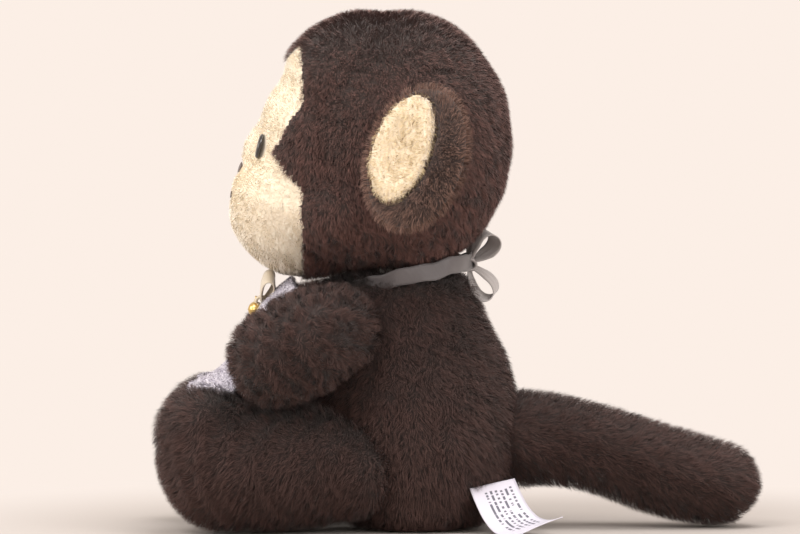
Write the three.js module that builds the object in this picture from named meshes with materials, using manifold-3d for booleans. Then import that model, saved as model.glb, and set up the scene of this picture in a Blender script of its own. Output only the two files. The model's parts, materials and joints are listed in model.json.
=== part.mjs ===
// Stuffed monkey sitting on the ground, with a bib, a neck ribbon and a care label.
//
// Millimetres. +Z is up, the monkey faces -Y and its left side is +X.
// The origin is on the ground, in the middle of the flat seat.
//
// Every stuffed part is a cloth cover with its filling inside. A limb, the tail and the neck end in a
// ball that turns in a hollow of its neighbour, and the ring of hand stitches lies in the room between.

import * as THREE from 'three';
import { mergeVertices } from 'three/addons/utils/BufferGeometryUtils.js';
import Module from 'manifold-3d';

const wasm = await Module();
wasm.setup();

// ---------------------------------------------------------------- driving dimensions

const CLOTH = 3; // plush cloth with its flattened pile
const GAP = 0.3; // between two pieces that touch
const SEAM_ROOM = 3; // from the ball end of a limb to the hollow that it turns in
const THREAD_RADIUS = 0.7;

const TORSO_HEIGHT = 125;
const TORSO_WIDTH = 112;
const TORSO_FRONT = 63; // from the origin to the chest
const TORSO_BACK = 50; // from the origin to the rump
const PELLET_BAG_HEIGHT = 18;

const HEAD_WIDTH = 140;
const HEAD_DEPTH = 110; // of the brown hood, without the face
const HEAD_HEIGHT = 131;
const NECK_LENGTH = 2; // from the torso to the head
const BROW = { forward: 26, down: 2, half: [54, 48, 50] }; // an ellipsoid, from the head's centre
const FRINGE = { forward: 28, down: -27.5, half: [50, 33, 35] };
const MUZZLE = { forward: 48, down: 32, half: [46, 39, 36] };
const CHEEKS = { forward: 25, down: 34, half: [60, 42, 31] };
const FACE_BACK = 48; // the face panel's rear seam, in front of the head's centre
const NECK_RADIUS = 16;
const NECK_SHARE = 0.976; // of the torso's height, where the neck turns

const EYE = { side: 19, down: 2, width: 9, height: 11.5, bulge: 2.2, turn: 24 };
const EYE_SHANK_RADIUS = 1.6;
const EYE_WASHER_RADIUS = 5;
const EYE_WASHER_THICKNESS = 1.4;
const NOSE = { down: 13, width: 9, height: 6 };
const MOUTH = { down: 27, width: 15 };

const EAR = {
  width: 58, height: 72, thickness: 15, // the oval pad, whose inner side is sewn to the head
  spread: 35, lean: 18, // degrees, backwards from sideways and backwards from upright
  down: 2, back: -10, // the seam's middle, from the head's centre
  sunk: 2.5, clear: 2, // into the head, and the room left round it
  rim: 16, edge: 6, raise: 3.5, // the brown border at the free side and at the top, and the lining's lift
};

const ARM = { ball: 25, paw: 22, length: 42, droop: 18, flare: 5 };
const SHOULDER = { side: 49, forward: 30, down: ARM.ball - 1 }; // its top stays under the neck ribbon

const LEG = { ball: 29, ankle: 26, ankleHeight: 30, ankleReach: 46, flare: 6 };
const FOOT = { reach: 56, width: 53, depth: 58, height: 70.4 };
const HIP = { side: 34, forward: 48, height: 33 };

const TAIL = { ball: 21, tip: 22.2, reach: 100.5, rootHeight: 44 };
const TAIL_RINGS = 12; // along the bend

const RIBBON_WIDTH = 7; // gathered in the crease under the head
const RIBBON_THICKNESS = 0.8;
const RIBBON = { side: 29.5, front: 52, back: 24, lift: 1.6, rise: 0.105, cut: -41 };
const NAPE_BOW = { knot: 4, loop: 19 };

const BIB_CLOTH = 1.6;
const BIB = { half: 24, hemHalf: 43, collarHeight: 15, ruffle: 11 };
const FRONT_BOW = { loop: 12, bell: 4 };

const LABEL = { width: 22, length: 34, thickness: 0.6, around: 50, turn: 34 };

const COLOURS = {
  darkBrown: 0x3c2d2a,
  hoodBrown: 0x503f3a,
  cream: 0xf9ead5,
  earCream: 0xefd3a4,
  filling: 0xf4f2ee,
  thread: 0x2a2022,
  pellets: 0xdadcd8,
  eye: 0x14161f,
  washer: 0xe6e6e2,
  satin: 0xb9b2ae,
  bowCream: 0xcfc4ac,
  bib: 0xcfc6d6,
  gold: 0xc9a55c,
  label: 0xf2f0f4,
};

// ---------------------------------------------------------------- solids

function solidOf(geometry) {
  const shape = geometry.clone();
  shape.deleteAttribute('normal');
  shape.deleteAttribute('uv');
  const merged = mergeVertices(shape, 1e-4);
  const index = merged.index.array;
  const triangles = [];
  for (let i = 0; i < index.length; i += 3) {
    const [a, b, c] = index.slice(i, i + 3);
    if (a !== b && b !== c && c !== a) triangles.push(a, b, c);
  }
  return new wasm.Manifold(
    new wasm.Mesh({
      numProp: 3,
      vertProperties: new Float32Array(merged.attributes.position.array),
      triVerts: new Uint32Array(triangles),
    }),
  );
}

function geometryOf(solid) {
  const mesh = solid.getMesh();
  const geometry = new THREE.BufferGeometry();
  geometry.setAttribute('position', new THREE.BufferAttribute(mesh.vertProperties, 3));
  geometry.setIndex(new THREE.BufferAttribute(mesh.triVerts, 1));
  geometry.computeVertexNormals();
  return geometry;
}

function ellipsoid(centre, half, around = 16) {
  const shape = new THREE.SphereGeometry(1, around, Math.round(around * 0.6));
  shape.rotateX(Math.PI / 2);
  return solidOf(shape.scale(...half).translate(...centre));
}

function ball(centre, radius, around = 16) {
  return ellipsoid(centre, [radius, radius, radius], around);
}

function block(low, high) {
  const size = high.map((value, i) => value - low[i]);
  const centre = high.map((value, i) => (value + low[i]) / 2);
  return solidOf(new THREE.BoxGeometry(...size).translate(...centre));
}

// Turns a shape made along +Y so that its +Y points from one place to another.
function aim(geometry, from, to) {
  const direction = new THREE.Vector3(...to).sub(new THREE.Vector3(...from)).normalize();
  const turn = new THREE.Quaternion().setFromUnitVectors(new THREE.Vector3(0, 1, 0), direction);
  return geometry.applyQuaternion(turn).translate(...from);
}

function rod(from, to, radius, around = 8) {
  const length = new THREE.Vector3(...from).distanceTo(new THREE.Vector3(...to));
  const shape = new THREE.CylinderGeometry(radius, radius, length, around).translate(0, length / 2, 0);
  return solidOf(aim(shape, from, to));
}

// Moves each point of a shape up by an amount that depends on how far along +Y the point is.
function bent(geometry, liftAt) {
  const place = geometry.attributes.position;
  for (let i = 0; i < place.count; i += 1) place.setZ(i, place.getZ(i) + liftAt(place.getY(i)));
  return geometry;
}

// Two balls of different sizes and the cone that touches both, as one turned shape.
function limbGeometry(from, fromRadius, to, toRadius, around = 14, rings = 1) {
  const length = new THREE.Vector3(...from).distanceTo(new THREE.Vector3(...to));
  const tangent = Math.asin((fromRadius - toRadius) / length);
  const steps = 4;
  const profile = [];
  for (let i = 0; i <= steps; i += 1) {
    const angle = THREE.MathUtils.lerp(-Math.PI / 2, tangent, i / steps);
    profile.push(new THREE.Vector2(fromRadius * Math.cos(angle), fromRadius * Math.sin(angle)));
  }
  const end = new THREE.Vector2(toRadius * Math.cos(tangent), length + toRadius * Math.sin(tangent));
  const start = profile.at(-1);
  for (let i = 1; i < rings; i += 1) profile.push(start.clone().lerp(end, i / rings));
  for (let i = 0; i <= steps; i += 1) {
    const angle = THREE.MathUtils.lerp(tangent, Math.PI / 2, i / steps);
    profile.push(new THREE.Vector2(toRadius * Math.cos(angle), length + toRadius * Math.sin(angle)));
  }
  profile[0].x = 0;
  profile.at(-1).x = 0;
  return aim(new THREE.LatheGeometry(profile, around), from, to);
}

function limb(...sizes) {
  return solidOf(limbGeometry(...sizes));
}

// A ring of stitches on a ball: its circle is cut off at some distance along an axis.
function stitchRing(centre, ballRadius, axis, distance) {
  const onBall = ballRadius + SEAM_ROOM / 2;
  const ringRadius = Math.sqrt(onBall * onBall - distance * distance);
  const ring = new THREE.TorusGeometry(ringRadius, THREAD_RADIUS, 4, 16);
  const direction = new THREE.Vector3(...axis).normalize();
  ring.applyQuaternion(new THREE.Quaternion().setFromUnitVectors(new THREE.Vector3(0, 0, 1), direction));
  return solidOf(ring.translate(...direction.multiplyScalar(distance).toArray()).translate(...centre));
}

// A stack of ovals. Each row holds a height, a front, a back and a half width.
function ovalStack(rows, rings = 11, around = 20) {
  const depths = new THREE.CatmullRomCurve3(
    rows.map(([height, front, back]) => new THREE.Vector3(height, front, back)), false, 'catmullrom');
  const widths = new THREE.CatmullRomCurve3(
    rows.map(([height, , , half]) => new THREE.Vector3(height, half, 0)), false, 'catmullrom');
  const profile = [];
  for (let i = 0; i <= rings; i += 1) profile.push(new THREE.Vector2(1, i));
  profile.unshift(new THREE.Vector2(0, 0));
  profile.push(new THREE.Vector2(0, rings));
  const shape = new THREE.LatheGeometry(profile, around);
  const place = shape.attributes.position;
  for (let i = 0; i < place.count; i += 1) {
    const at = place.getY(i) / rings;
    const [height, front, back] = depths.getPoint(at).toArray();
    const half = widths.getPoint(at).y;
    const middle = (front + back) / 2;
    const depth = (back - front) / 2;
    place.setXYZ(i, place.getX(i) * half, middle - place.getZ(i) * depth, height);
  }
  return solidOf(shape);
}

// ---------------------------------------------------------------- places

const HEAD_CENTRE = [0, -10, TORSO_HEIGHT + NECK_LENGTH + HEAD_HEIGHT / 2];
const NECK = [0, HEAD_CENTRE[1], TORSO_HEIGHT * NECK_SHARE];
const TAIL_ROOT = [0, TORSO_BACK - 2, TAIL.rootHeight];

const shoulderOf = (side) => [side * SHOULDER.side, -SHOULDER.forward, TORSO_HEIGHT - SHOULDER.down];
const hipOf = (side) => [side * HIP.side, -HIP.forward, HIP.height];

function pawOf(side) {
  const [x, y, z] = shoulderOf(side);
  const droop = THREE.MathUtils.degToRad(ARM.droop);
  const flare = THREE.MathUtils.degToRad(ARM.flare);
  const forward = ARM.length * Math.cos(droop);
  const drop = ARM.length * Math.sin(droop);
  return [x + side * forward * Math.sin(flare), y - forward * Math.cos(flare), z - drop];
}

function footPoint(side, reach, height) {
  const [x, y] = hipOf(side);
  const flare = THREE.MathUtils.degToRad(LEG.flare);
  return [x + side * reach * Math.sin(flare), y - reach * Math.cos(flare), height];
}

// The front of an ellipsoid at some place across and some height.
function frontOf({ centre, half }, x, z) {
  const across = (x - centre[0]) / half[0];
  const up = (z - centre[2]) / half[2];
  return centre[1] - half[1] * Math.sqrt(Math.max(0, 1 - across * across - up * up));
}

const brow = {
  centre: [0, HEAD_CENTRE[1] - BROW.forward, HEAD_CENTRE[2] - BROW.down],
  half: BROW.half,
};
const muzzle = {
  centre: [0, HEAD_CENTRE[1] - MUZZLE.forward, HEAD_CENTRE[2] - MUZZLE.down],
  half: MUZZLE.half,
};
const cheeks = {
  centre: [0, HEAD_CENTRE[1] - CHEEKS.forward, HEAD_CENTRE[2] - CHEEKS.down],
  half: CHEEKS.half,
};
const fringe = {
  centre: [0, HEAD_CENTRE[1] - FRINGE.forward, HEAD_CENTRE[2] - FRINGE.down],
  half: FRINGE.half,
};
const hood = {
  centre: HEAD_CENTRE,
  half: [HEAD_WIDTH / 2, HEAD_DEPTH / 2, HEAD_HEIGHT / 2],
};

// ---------------------------------------------------------------- scene graph

const monkey = new THREE.Group();

function bodyAt(place) {
  const group = new THREE.Group();
  group.position.set(...place);
  monkey.add(group);
  return group;
}

const pick = (side, name) => `${side > 0 ? 'left' : 'right'}_${name}`;

function add(body, name, solid, color, roughness = 0.95, metalness = 0) {
  const geometry = geometryOf(solid);
  geometry.translate(...body.position.clone().negate().toArray());
  const mesh = new THREE.Mesh(geometry, new THREE.MeshStandardMaterial({ color, roughness, metalness }));
  mesh.name = name;
  body.add(mesh);
}

// ---------------------------------------------------------------- torso

const LABEL_ROW = [0.18, 0.72, 0.9, 0.96];
const TORSO_ROWS = [ // shares of the height, the front, the back and the half width
  [0, 0.5, 0.54, 0.7],
  [0.05, 0.62, 0.74, 0.86],
  LABEL_ROW,
  [0.35, 0.86, 1, 1],
  [0.53, 0.99, 0.93, 0.93],
  [0.7, 1, 0.8, 0.8],
  [0.85, 0.92, 0.66, 0.69],
  [0.945, 0.77, 0.51, 0.55],
  [0.985, 0.56, 0.3, 0.36],
  [1, 0.36, 0.1, 0.16],
];

function torsoRow([height, front, back, half], inset) {
  return [
    inset + height * (TORSO_HEIGHT - 2 * inset),
    inset - front * TORSO_FRONT,
    back * TORSO_BACK - inset,
    (half * TORSO_WIDTH) / 2 - inset,
  ];
}

// The pear shape of the sitting torso, smaller all round by the inset.
function torsoShape(inset) {
  return ovalStack(TORSO_ROWS.map((row) => torsoRow(row, inset)));
}

// Where the neck, the tail and the limbs turn, and where an arm presses into the side of the chest.
function torsoHollows(room) {
  const hollows = [ball(NECK, NECK_RADIUS + room), ball(TAIL_ROOT, TAIL.ball + room)];
  for (const side of [1, -1]) {
    hollows.push(ball(shoulderOf(side), ARM.ball + room), ball(hipOf(side), LEG.ball + room));
    hollows.push(armShape(side, -room * 0.6));
  }
  return hollows;
}

function buildTorso() {
  const body = bodyAt([0, 0, 0]);
  let cover = torsoShape(0).subtract(torsoShape(CLOTH));
  let filling = torsoShape(CLOTH + GAP);
  for (const hollow of torsoHollows(SEAM_ROOM)) cover = cover.subtract(hollow);
  for (const hollow of torsoHollows(SEAM_ROOM + GAP)) filling = filling.subtract(hollow);
  const seat = CLOTH + GAP;
  const bagTop = seat + PELLET_BAG_HEIGHT;
  const wide = [-TORSO_WIDTH, -TORSO_FRONT - TORSO_BACK];
  const far = [TORSO_WIDTH, TORSO_FRONT + TORSO_BACK];
  const bag = filling.intersect(block([...wide, seat - GAP], [...far, bagTop - GAP]));
  filling = filling.subtract(block([...wide, 0], [...far, bagTop]));
  add(body, 'torso_cover', cover, COLOURS.darkBrown);
  add(body, 'torso_filling', filling, COLOURS.filling);
  add(body, 'seat_pellet_bag', bag, COLOURS.pellets);
  return body;
}

// ---------------------------------------------------------------- head

function headShape(inset) {
  const inside = ({ centre, half }, around) =>
    ellipsoid(centre, half.map((value) => value - inset), around);
  const lobes = [brow, fringe, muzzle, cheeks];
  return lobes.reduce((whole, lobe) => whole.add(inside(lobe, 16)), inside(hood, 20));
}

// The outline of the cream face, seen from the front: two lobes over the eyes, with a point of the hood
// between them, a notch at each side and a wide muzzle. It is grown by some room all round.
function facePrism(room) {
  const upper = [[0, 40], [15, 47], [33, 36], [39, 20], [36, 6], [29, -5]];
  const lower = [[29, -5], [37, -14], [45, -31], [42, -49], [28, -63], [0, -71]];
  const scale = 1 + room / 36;
  const spline = (points, side) =>
    new THREE.SplineCurve(points.map(([x, z]) => new THREE.Vector2(side * x * scale, z * scale)))
      .getPoints(6);
  const outline = [...spline(upper, 1), ...spline(lower, 1).slice(1)];
  const mirrored = outline.slice(1, -1).reverse().map((point) => new THREE.Vector2(-point.x, point.y));
  const depth = HEAD_DEPTH;
  const shape = new THREE.ExtrudeGeometry(new THREE.Shape([...outline, ...mirrored]), {
    depth,
    bevelEnabled: false,
  });
  shape.rotateX(Math.PI / 2);
  return solidOf(shape.translate(0, HEAD_CENTRE[1] - FACE_BACK + room, HEAD_CENTRE[2]));
}

function eyeFrame(side) {
  const x = side * EYE.side;
  const z = HEAD_CENTRE[2] - EYE.down;
  const turn = side * THREE.MathUtils.degToRad(EYE.turn);
  const out = [Math.sin(turn), -Math.cos(turn), 0];
  const surface = [x, frontOf(brow, x, z), z];
  const along = (distance) => surface.map((value, i) => value + out[i] * distance);
  return { turn, along };
}

function eyeShape(side) {
  const { turn, along } = eyeFrame(side);
  const dome = new THREE.SphereGeometry(1, 12, 8).scale(EYE.width / 2, EYE.bulge, EYE.height / 2);
  const front = solidOf(dome.rotateZ(turn).translate(...along(EYE.bulge * 0.6)));
  const outside = front.subtract(headShape(-GAP));
  const shank = rod(along(-CLOTH * 2.6), along(EYE.bulge * 0.5), EYE_SHANK_RADIUS);
  return outside.add(shank);
}

function washerShape(side, room) {
  const { along } = eyeFrame(side);
  const inner = -(CLOTH * 1.6 + 1);
  const disc = rod(along(inner - EYE_WASHER_THICKNESS - room), along(inner + room), EYE_WASHER_RADIUS + room, 12);
  return disc.subtract(shankHole(side, room > 0 ? -EYE_SHANK_RADIUS / 2 : GAP));
}

function shankHole(side, room) {
  const { along } = eyeFrame(side);
  return rod(along(-CLOTH * 4), along(EYE.bulge * 3), EYE_SHANK_RADIUS + room);
}

// Satin stitches stand a little proud of the face: a flat oval bent over the muzzle.
function stitchedPatch(centreDown, width, height, proud) {
  const z = HEAD_CENTRE[2] - centreDown;
  const y = Math.min(frontOf(muzzle, 0, z), frontOf(brow, 0, z));
  const column = ellipsoid([0, y, z], [width / 2, 6, height / 2], 16);
  return column.intersect(headShape(-proud)).subtract(headShape(-GAP));
}

function buildHead() {
  const body = bodyAt(NECK);
  const neckHole = ball(NECK, NECK_RADIUS + 1);
  const shell = headShape(0).subtract(headShape(CLOTH)).subtract(neckHole);
  let face = shell.intersect(facePrism(0));
  let filling = headShape(CLOTH + GAP).subtract(ball(NECK, NECK_RADIUS + 1 + GAP));
  for (const side of [1, -1]) {
    face = face.subtract(shankHole(side, GAP));
    filling = filling.subtract(shankHole(side, GAP)).subtract(washerShape(side, GAP));
  }
  const muzzleTop = HEAD_CENTRE[2] - 9;
  const across = [HEAD_WIDTH, 0];
  const far = [-HEAD_WIDTH, -HEAD_WIDTH * 2];
  const upperHalf = block([...far, muzzleTop], [...across, muzzleTop + HEAD_HEIGHT]);
  const lowerHalf = block([...far, 0], [...across, muzzleTop - GAP]);
  add(body, 'head_cover', shell.subtract(facePrism(GAP)), COLOURS.hoodBrown);
  add(body, 'face_panel', face.intersect(upperHalf), COLOURS.cream);
  add(body, 'muzzle_panel', face.intersect(lowerHalf), COLOURS.cream);
  add(body, 'head_filling', filling, COLOURS.filling);
  for (const side of [1, -1]) {
    add(body, pick(side, 'eye'), eyeShape(side), COLOURS.eye, 0.12);
    add(body, pick(side, 'eye_washer'), washerShape(side, 0), COLOURS.washer, 0.5);
  }
  add(body, 'nose_stitching', stitchedPatch(NOSE.down, NOSE.width, NOSE.height, 1), COLOURS.thread, 0.6);
  add(body, 'mouth_stitching', stitchedPatch(MOUTH.down, MOUTH.width, 1.8, 0.9), COLOURS.thread, 0.6);
  return body;
}

function buildNeck() {
  const body = bodyAt(NECK);
  add(body, 'neck_filling', ball(NECK, NECK_RADIUS), COLOURS.filling);
  const ring = new THREE.TorusGeometry(NECK_RADIUS + SEAM_ROOM / 2 + 0.3, THREAD_RADIUS, 4, 18);
  const [x, y] = NECK;
  const height = TORSO_HEIGHT + THREAD_RADIUS + GAP;
  add(body, 'neck_stitching', solidOf(ring.translate(x, y, height)), COLOURS.thread, 0.7);
  return body;
}

// ---------------------------------------------------------------- ears

// In the ear's own frame +X runs from the seam to the free edge and +Z up the ear.
function buildEar(side) {
  const y = HEAD_CENTRE[1] + EAR.back;
  const z = HEAD_CENTRE[2] - EAR.down;
  const across = (y - hood.centre[1]) / hood.half[1];
  const up = (z - hood.centre[2]) / hood.half[2];
  const x = side * (hood.half[0] * Math.sqrt(1 - across * across - up * up) - EAR.sunk);
  const swing = THREE.MathUtils.degToRad(90 - side * EAR.spread);
  const lean = new THREE.Matrix4().makeRotationX(-THREE.MathUtils.degToRad(EAR.lean));
  const toWorld = new THREE.Matrix4().makeRotationZ(swing).premultiply(lean).setPosition(x, y, z);
  // The cupped face looks outwards and forwards.
  const face = side;
  const oval = (middle, half) => {
    const shape = new THREE.SphereGeometry(1, 14, 10).rotateX(Math.PI / 2).scale(...half);
    return solidOf(shape.translate(middle[0], -face * middle[1], middle[2]).applyMatrix4(toWorld));
  };
  const [w, t, h] = [EAR.width / 2, EAR.thickness / 2, EAR.height / 2];
  const stand = t * 0.8;
  const [liningWidth, liningHeight] = [(EAR.width - EAR.rim) / 2 - 1, h - EAR.edge];
  const outer = oval([w - 2, stand, 0], [w, t, h]);
  const pocket = (room) => [liningWidth + room, t + room, liningHeight + room];
  const pocketAt = [liningWidth - 1, stand + t * 0.75, EAR.raise];
  const dishAt = [liningWidth - 1, stand + t * 1.45, EAR.raise];
  const dish = oval(dishAt, [liningWidth - 3, t, liningHeight - 4]);
  const clear = headShape(-EAR.clear);
  const body = bodyAt([x, y, z]);
  const back = outer.subtract(oval(pocketAt, pocket(0))).subtract(clear);
  const front = oval(pocketAt, pocket(-GAP)).subtract(dish).intersect(outer).subtract(clear);
  add(body, pick(side, 'ear_back'), back, COLOURS.hoodBrown);
  add(body, pick(side, 'ear_lining'), front, COLOURS.earCream);
  return body;
}

// ---------------------------------------------------------------- limbs and tail

function stuffed(body, name, shape, seamEnd, seamInside, color) {
  const opening = rod(seamEnd, seamInside, 6);
  const cover = shape(0).subtract(shape(CLOTH)).subtract(opening);
  const ground = block([-400, -400, -100], [400, 400, 0]);
  add(body, `${name}_cover`, cover.subtract(ground), color);
  add(body, `${name}_filling`, shape(CLOTH + GAP), COLOURS.filling);
}

function armShape(side, inset) {
  return limb(shoulderOf(side), ARM.ball - inset, pawOf(side), ARM.paw - inset);
}

function buildArm(side) {
  const shoulder = shoulderOf(side);
  const body = bodyAt(shoulder);
  const intoTorso = new THREE.Vector3(-0.75 * side, 0.6, 0.15).normalize();
  const onAxis = (distance) => intoTorso.clone().multiplyScalar(distance).add(body.position).toArray();
  const shape = (inset) => armShape(side, inset);
  stuffed(body, pick(side, 'arm'), shape, onAxis(ARM.ball + 2), onAxis(ARM.ball * 0.6), COLOURS.darkBrown);
  const seam = bodyAt(shoulder);
  const ring = stitchRing(shoulder, ARM.ball, intoTorso.toArray(), ARM.ball * 0.88);
  add(seam, pick(side, 'shoulder_stitching'), ring, COLOURS.thread, 0.7);
}

function buildLeg(side) {
  const hip = hipOf(side);
  const body = bodyAt(hip);
  const ankle = footPoint(side, LEG.ankleReach, LEG.ankleHeight);
  const foot = footPoint(side, FOOT.reach, FOOT.height / 2 + GAP);
  const footHalf = [FOOT.width / 2, FOOT.depth / 2, FOOT.height / 2];
  const shape = (inset) =>
    limb(hip, LEG.ball - inset, ankle, LEG.ankle - inset)
      .add(ellipsoid(foot, footHalf.map((half) => half - inset)));
  const [x, y, z] = hip;
  stuffed(body, pick(side, 'leg'), shape, [x, y + LEG.ball + 2, z], [x, y + LEG.ball * 0.6, z],
    COLOURS.darkBrown);
  const ring = stitchRing(hip, LEG.ball, [-side * 0.3, 1, 0.2], LEG.ball * 0.52);
  add(body, pick(side, 'hip_stitching'), ring, COLOURS.thread, 0.7);
}

// The tail leaves the rump level, sinks to the ground and lies on it.
function tailShape(inset) {
  const [x, y, z] = TAIL_ROOT;
  const end = [x, y + TAIL.reach, z];
  const straight = limbGeometry([x, y, z], TAIL.ball - inset, end, TAIL.tip - inset, 14, TAIL_RINGS);
  const drop = TAIL.rootHeight - TAIL.tip - GAP;
  const lift = (at) => -drop * THREE.MathUtils.smootherstep((at - y) / TAIL.reach, 0, 1.05);
  return solidOf(bent(straight, lift));
}

function buildTail() {
  const body = bodyAt(TAIL_ROOT);
  const [x, y, z] = TAIL_ROOT;
  stuffed(body, 'tail', tailShape, [x, y - TAIL.ball - 2, z], [x, y - TAIL.ball * 0.6, z],
    COLOURS.darkBrown);
  const seam = bodyAt(TAIL_ROOT);
  add(seam, 'tail_stitching', stitchRing(TAIL_ROOT, TAIL.ball, [0, -1, 0.1], TAIL.ball * 0.72),
    COLOURS.thread, 0.7);
}

// ---------------------------------------------------------------- ribbon, bib and label

// A satin ribbon bent into a loop: an oval band seen along the ribbon's width.
function ribbonLoop(length, height, width, thickness, placed) {
  const shape = new THREE.Shape().absellipse(length / 2, 0, length / 2, height / 2, 0, Math.PI * 2);
  const hole = new THREE.Path();
  hole.absellipse(length / 2, 0, length / 2 - thickness, height / 2 - thickness, 0, Math.PI * 2);
  shape.holes.push(hole);
  const band = new THREE.ExtrudeGeometry(shape, { depth: width, bevelEnabled: false, curveSegments: 7 });
  return solidOf(placed(band.translate(0, 0, -width / 2)));
}

function buildNeckRibbon(body) {
  const middle = (RIBBON.back - RIBBON.front) / 2;
  const depth = (RIBBON.back + RIBBON.front) / 2;
  const shape = new THREE.Shape().absellipse(0, middle, RIBBON.side, depth, 0, Math.PI * 2);
  const hole = new THREE.Path();
  hole.absellipse(0, middle, RIBBON.side - RIBBON_THICKNESS, depth - RIBBON_THICKNESS, 0, Math.PI * 2);
  shape.holes.push(hole);
  const options = { depth: RIBBON_WIDTH, bevelEnabled: false, curveSegments: 14 };
  const low = NECK[2] + RIBBON.lift - RIBBON_WIDTH / 2;
  const ring = new THREE.ExtrudeGeometry(shape, options);
  const band = solidOf(bent(ring, (at) => low + (at - NECK[1]) * RIBBON.rise));
  const far = TORSO_WIDTH;
  add(body, 'neck_ribbon', band.subtract(block([-far, -far, 0], [far, RIBBON.cut, far * 2])),
    COLOURS.satin, 0.4);
}

function buildNapeBow(body) {
  const height = NECK[2] + RIBBON.lift + (RIBBON.back - NECK[1]) * RIBBON.rise;
  const [across, deep] = [NAPE_BOW.knot, NAPE_BOW.knot * 0.7];
  const knotAt = [0, RIBBON.back + deep + GAP, height];
  add(body, 'nape_bow_knot', ellipsoid(knotAt, [across, deep, across], 10), COLOURS.satin, 0.4);
  for (const [name, angle] of [['upper', 40], ['lower', -58]]) {
    const turn = THREE.MathUtils.degToRad(angle);
    const loop = ribbonLoop(NAPE_BOW.loop, 9, RIBBON_WIDTH, RIBBON_THICKNESS, (band) =>
      band
        .translate(across + GAP, 0, 0)
        .applyMatrix4(new THREE.Matrix4().makeBasis(
          new THREE.Vector3(0, Math.cos(turn), Math.sin(turn)),
          new THREE.Vector3(0, -Math.sin(turn), Math.cos(turn)),
          new THREE.Vector3(1, 0, 0)))
        .translate(...knotAt));
    add(body, `nape_bow_${name}_loop`, loop, COLOURS.satin, 0.4);
  }
}

// A cloth of one thickness that follows points given as [y, z], wide across X.
function stripGeometry(points, half, thickness) {
  const line = new THREE.SplineCurve(points.map(([y, z]) => new THREE.Vector2(y, z)));
  const steps = (points.length - 1) * 2;
  const sides = [[], []];
  for (let i = 0; i <= steps; i += 1) {
    const at = line.getPoint(i / steps);
    const along = line.getTangent(i / steps);
    const out = new THREE.Vector2(-along.y, along.x).multiplyScalar(thickness / 2);
    sides[0].push(at.clone().add(out));
    sides[1].unshift(at.clone().sub(out));
  }
  const shape = new THREE.Shape([...sides[0], ...sides[1]]);
  const sheet = new THREE.ExtrudeGeometry(shape, { depth: half * 2, bevelEnabled: false });
  sheet.applyMatrix4(new THREE.Matrix4().makeBasis(
    new THREE.Vector3(0, 1, 0), new THREE.Vector3(0, 0, 1), new THREE.Vector3(1, 0, 0)));
  return sheet.translate(-half, 0, 0);
}

function clothStrip(points, half) {
  return solidOf(stripGeometry(points, half, BIB_CLOTH));
}

function buildBib(torsoBody) {
  const chest = -TORSO_FRONT - 3;
  const top = TORSO_HEIGHT - 6;
  const fold = top - BIB.collarHeight;
  const footTop = FOOT.height + BIB_CLOTH;
  const toes = -HIP.forward - FOOT.reach;
  const flap = bodyAt([0, chest, fold]);
  const collarRoute = [[chest + 5.5, top], [chest + 2.2, (top + fold) / 2], [chest, fold + GAP]];
  const collar = clothStrip(collarRoute, BIB.half);
  const route = [
    [chest, fold - GAP],
    [chest - 2, fold - 14],
    [chest - 9, footTop + 6],
    [chest - 24, footTop + 1],
    [toes + 4, footTop + 2],
    [toes - 9, footTop - 0.5],
  ];
  const whole = clothStrip(route, BIB.hemHalf);
  const paws = pawOf(1)[1] - ARM.paw - 4;
  const sides = [1, -1].map((side) => {
    const inner = side * BIB.half;
    const outer = side * TORSO_WIDTH;
    return block([Math.min(inner, outer), paws, 0], [Math.max(inner, outer), 0, TORSO_HEIGHT]);
  });
  const panel = whole.subtract(sides[0]).subtract(sides[1]);
  const hem = toes - 9 + BIB.ruffle;
  const beyond = (from, to) => block([-TORSO_WIDTH, from, 0], [TORSO_WIDTH, to, TORSO_HEIGHT]);
  add(torsoBody, 'bib_collar', collar, COLOURS.bib);
  add(flap, 'bib_panel', panel.intersect(beyond(hem + GAP, 0)), COLOURS.bib);
  add(flap, 'bib_ruffle', panel.intersect(beyond(-300, hem)), COLOURS.bib);

  const bellAt = [0, chest - FRONT_BOW.bell - 2, fold + 4];
  add(torsoBody, 'bib_bell', ball(bellAt, FRONT_BOW.bell, 12), COLOURS.gold, 0.3, 0.9);
  for (const side of [1, -1]) {
    const loop = ribbonLoop(FRONT_BOW.loop, 6, 6, 0.8, (band) =>
      band.rotateZ(side > 0 ? 0.45 : Math.PI - 0.45).rotateX(Math.PI / 2)
        .translate(side * 1.2, chest - 5.4, fold + 9));
    add(torsoBody, pick(side, 'bib_bow_loop'), loop, COLOURS.bowCream, 0.4);
  }
}

// The label is sewn under the left of the rump and curls down to the ground.
function buildLabel() {
  const [height, front, back, half] = torsoRow(LABEL_ROW, -2);
  const around = THREE.MathUtils.degToRad(LABEL.around);
  const middle = (front + back) / 2;
  const hinge = [half * Math.cos(around), middle + ((back - front) / 2) * Math.sin(around), height];
  const body = bodyAt(hinge);
  const ground = LABEL.thickness / 2 + 0.5 - height;
  // The label hangs from the seam, sags to the ground and lies on it.
  const bend = [[0, 0], [0.26, 0.45], [0.56, 0.85], [0.8, 1], [1, 1]];
  const route = bend.map(([reach, drop]) => [reach * LABEL.length, drop * ground]);
  const sheet = stripGeometry(route, LABEL.width / 2, LABEL.thickness);
  sheet.rotateZ(THREE.MathUtils.degToRad(LABEL.turn - 90)).translate(...hinge);
  add(body, 'care_label', solidOf(sheet), COLOURS.label, 0.6);
}

const torso = buildTorso();
buildNeck();
buildHead();
for (const side of [1, -1]) {
  buildEar(side);
  buildArm(side);
  buildLeg(side);
}
buildTail();
buildNeckRibbon(torso);
buildNapeBow(torso);
buildBib(torso);
buildLabel();

export default monkey;
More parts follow.
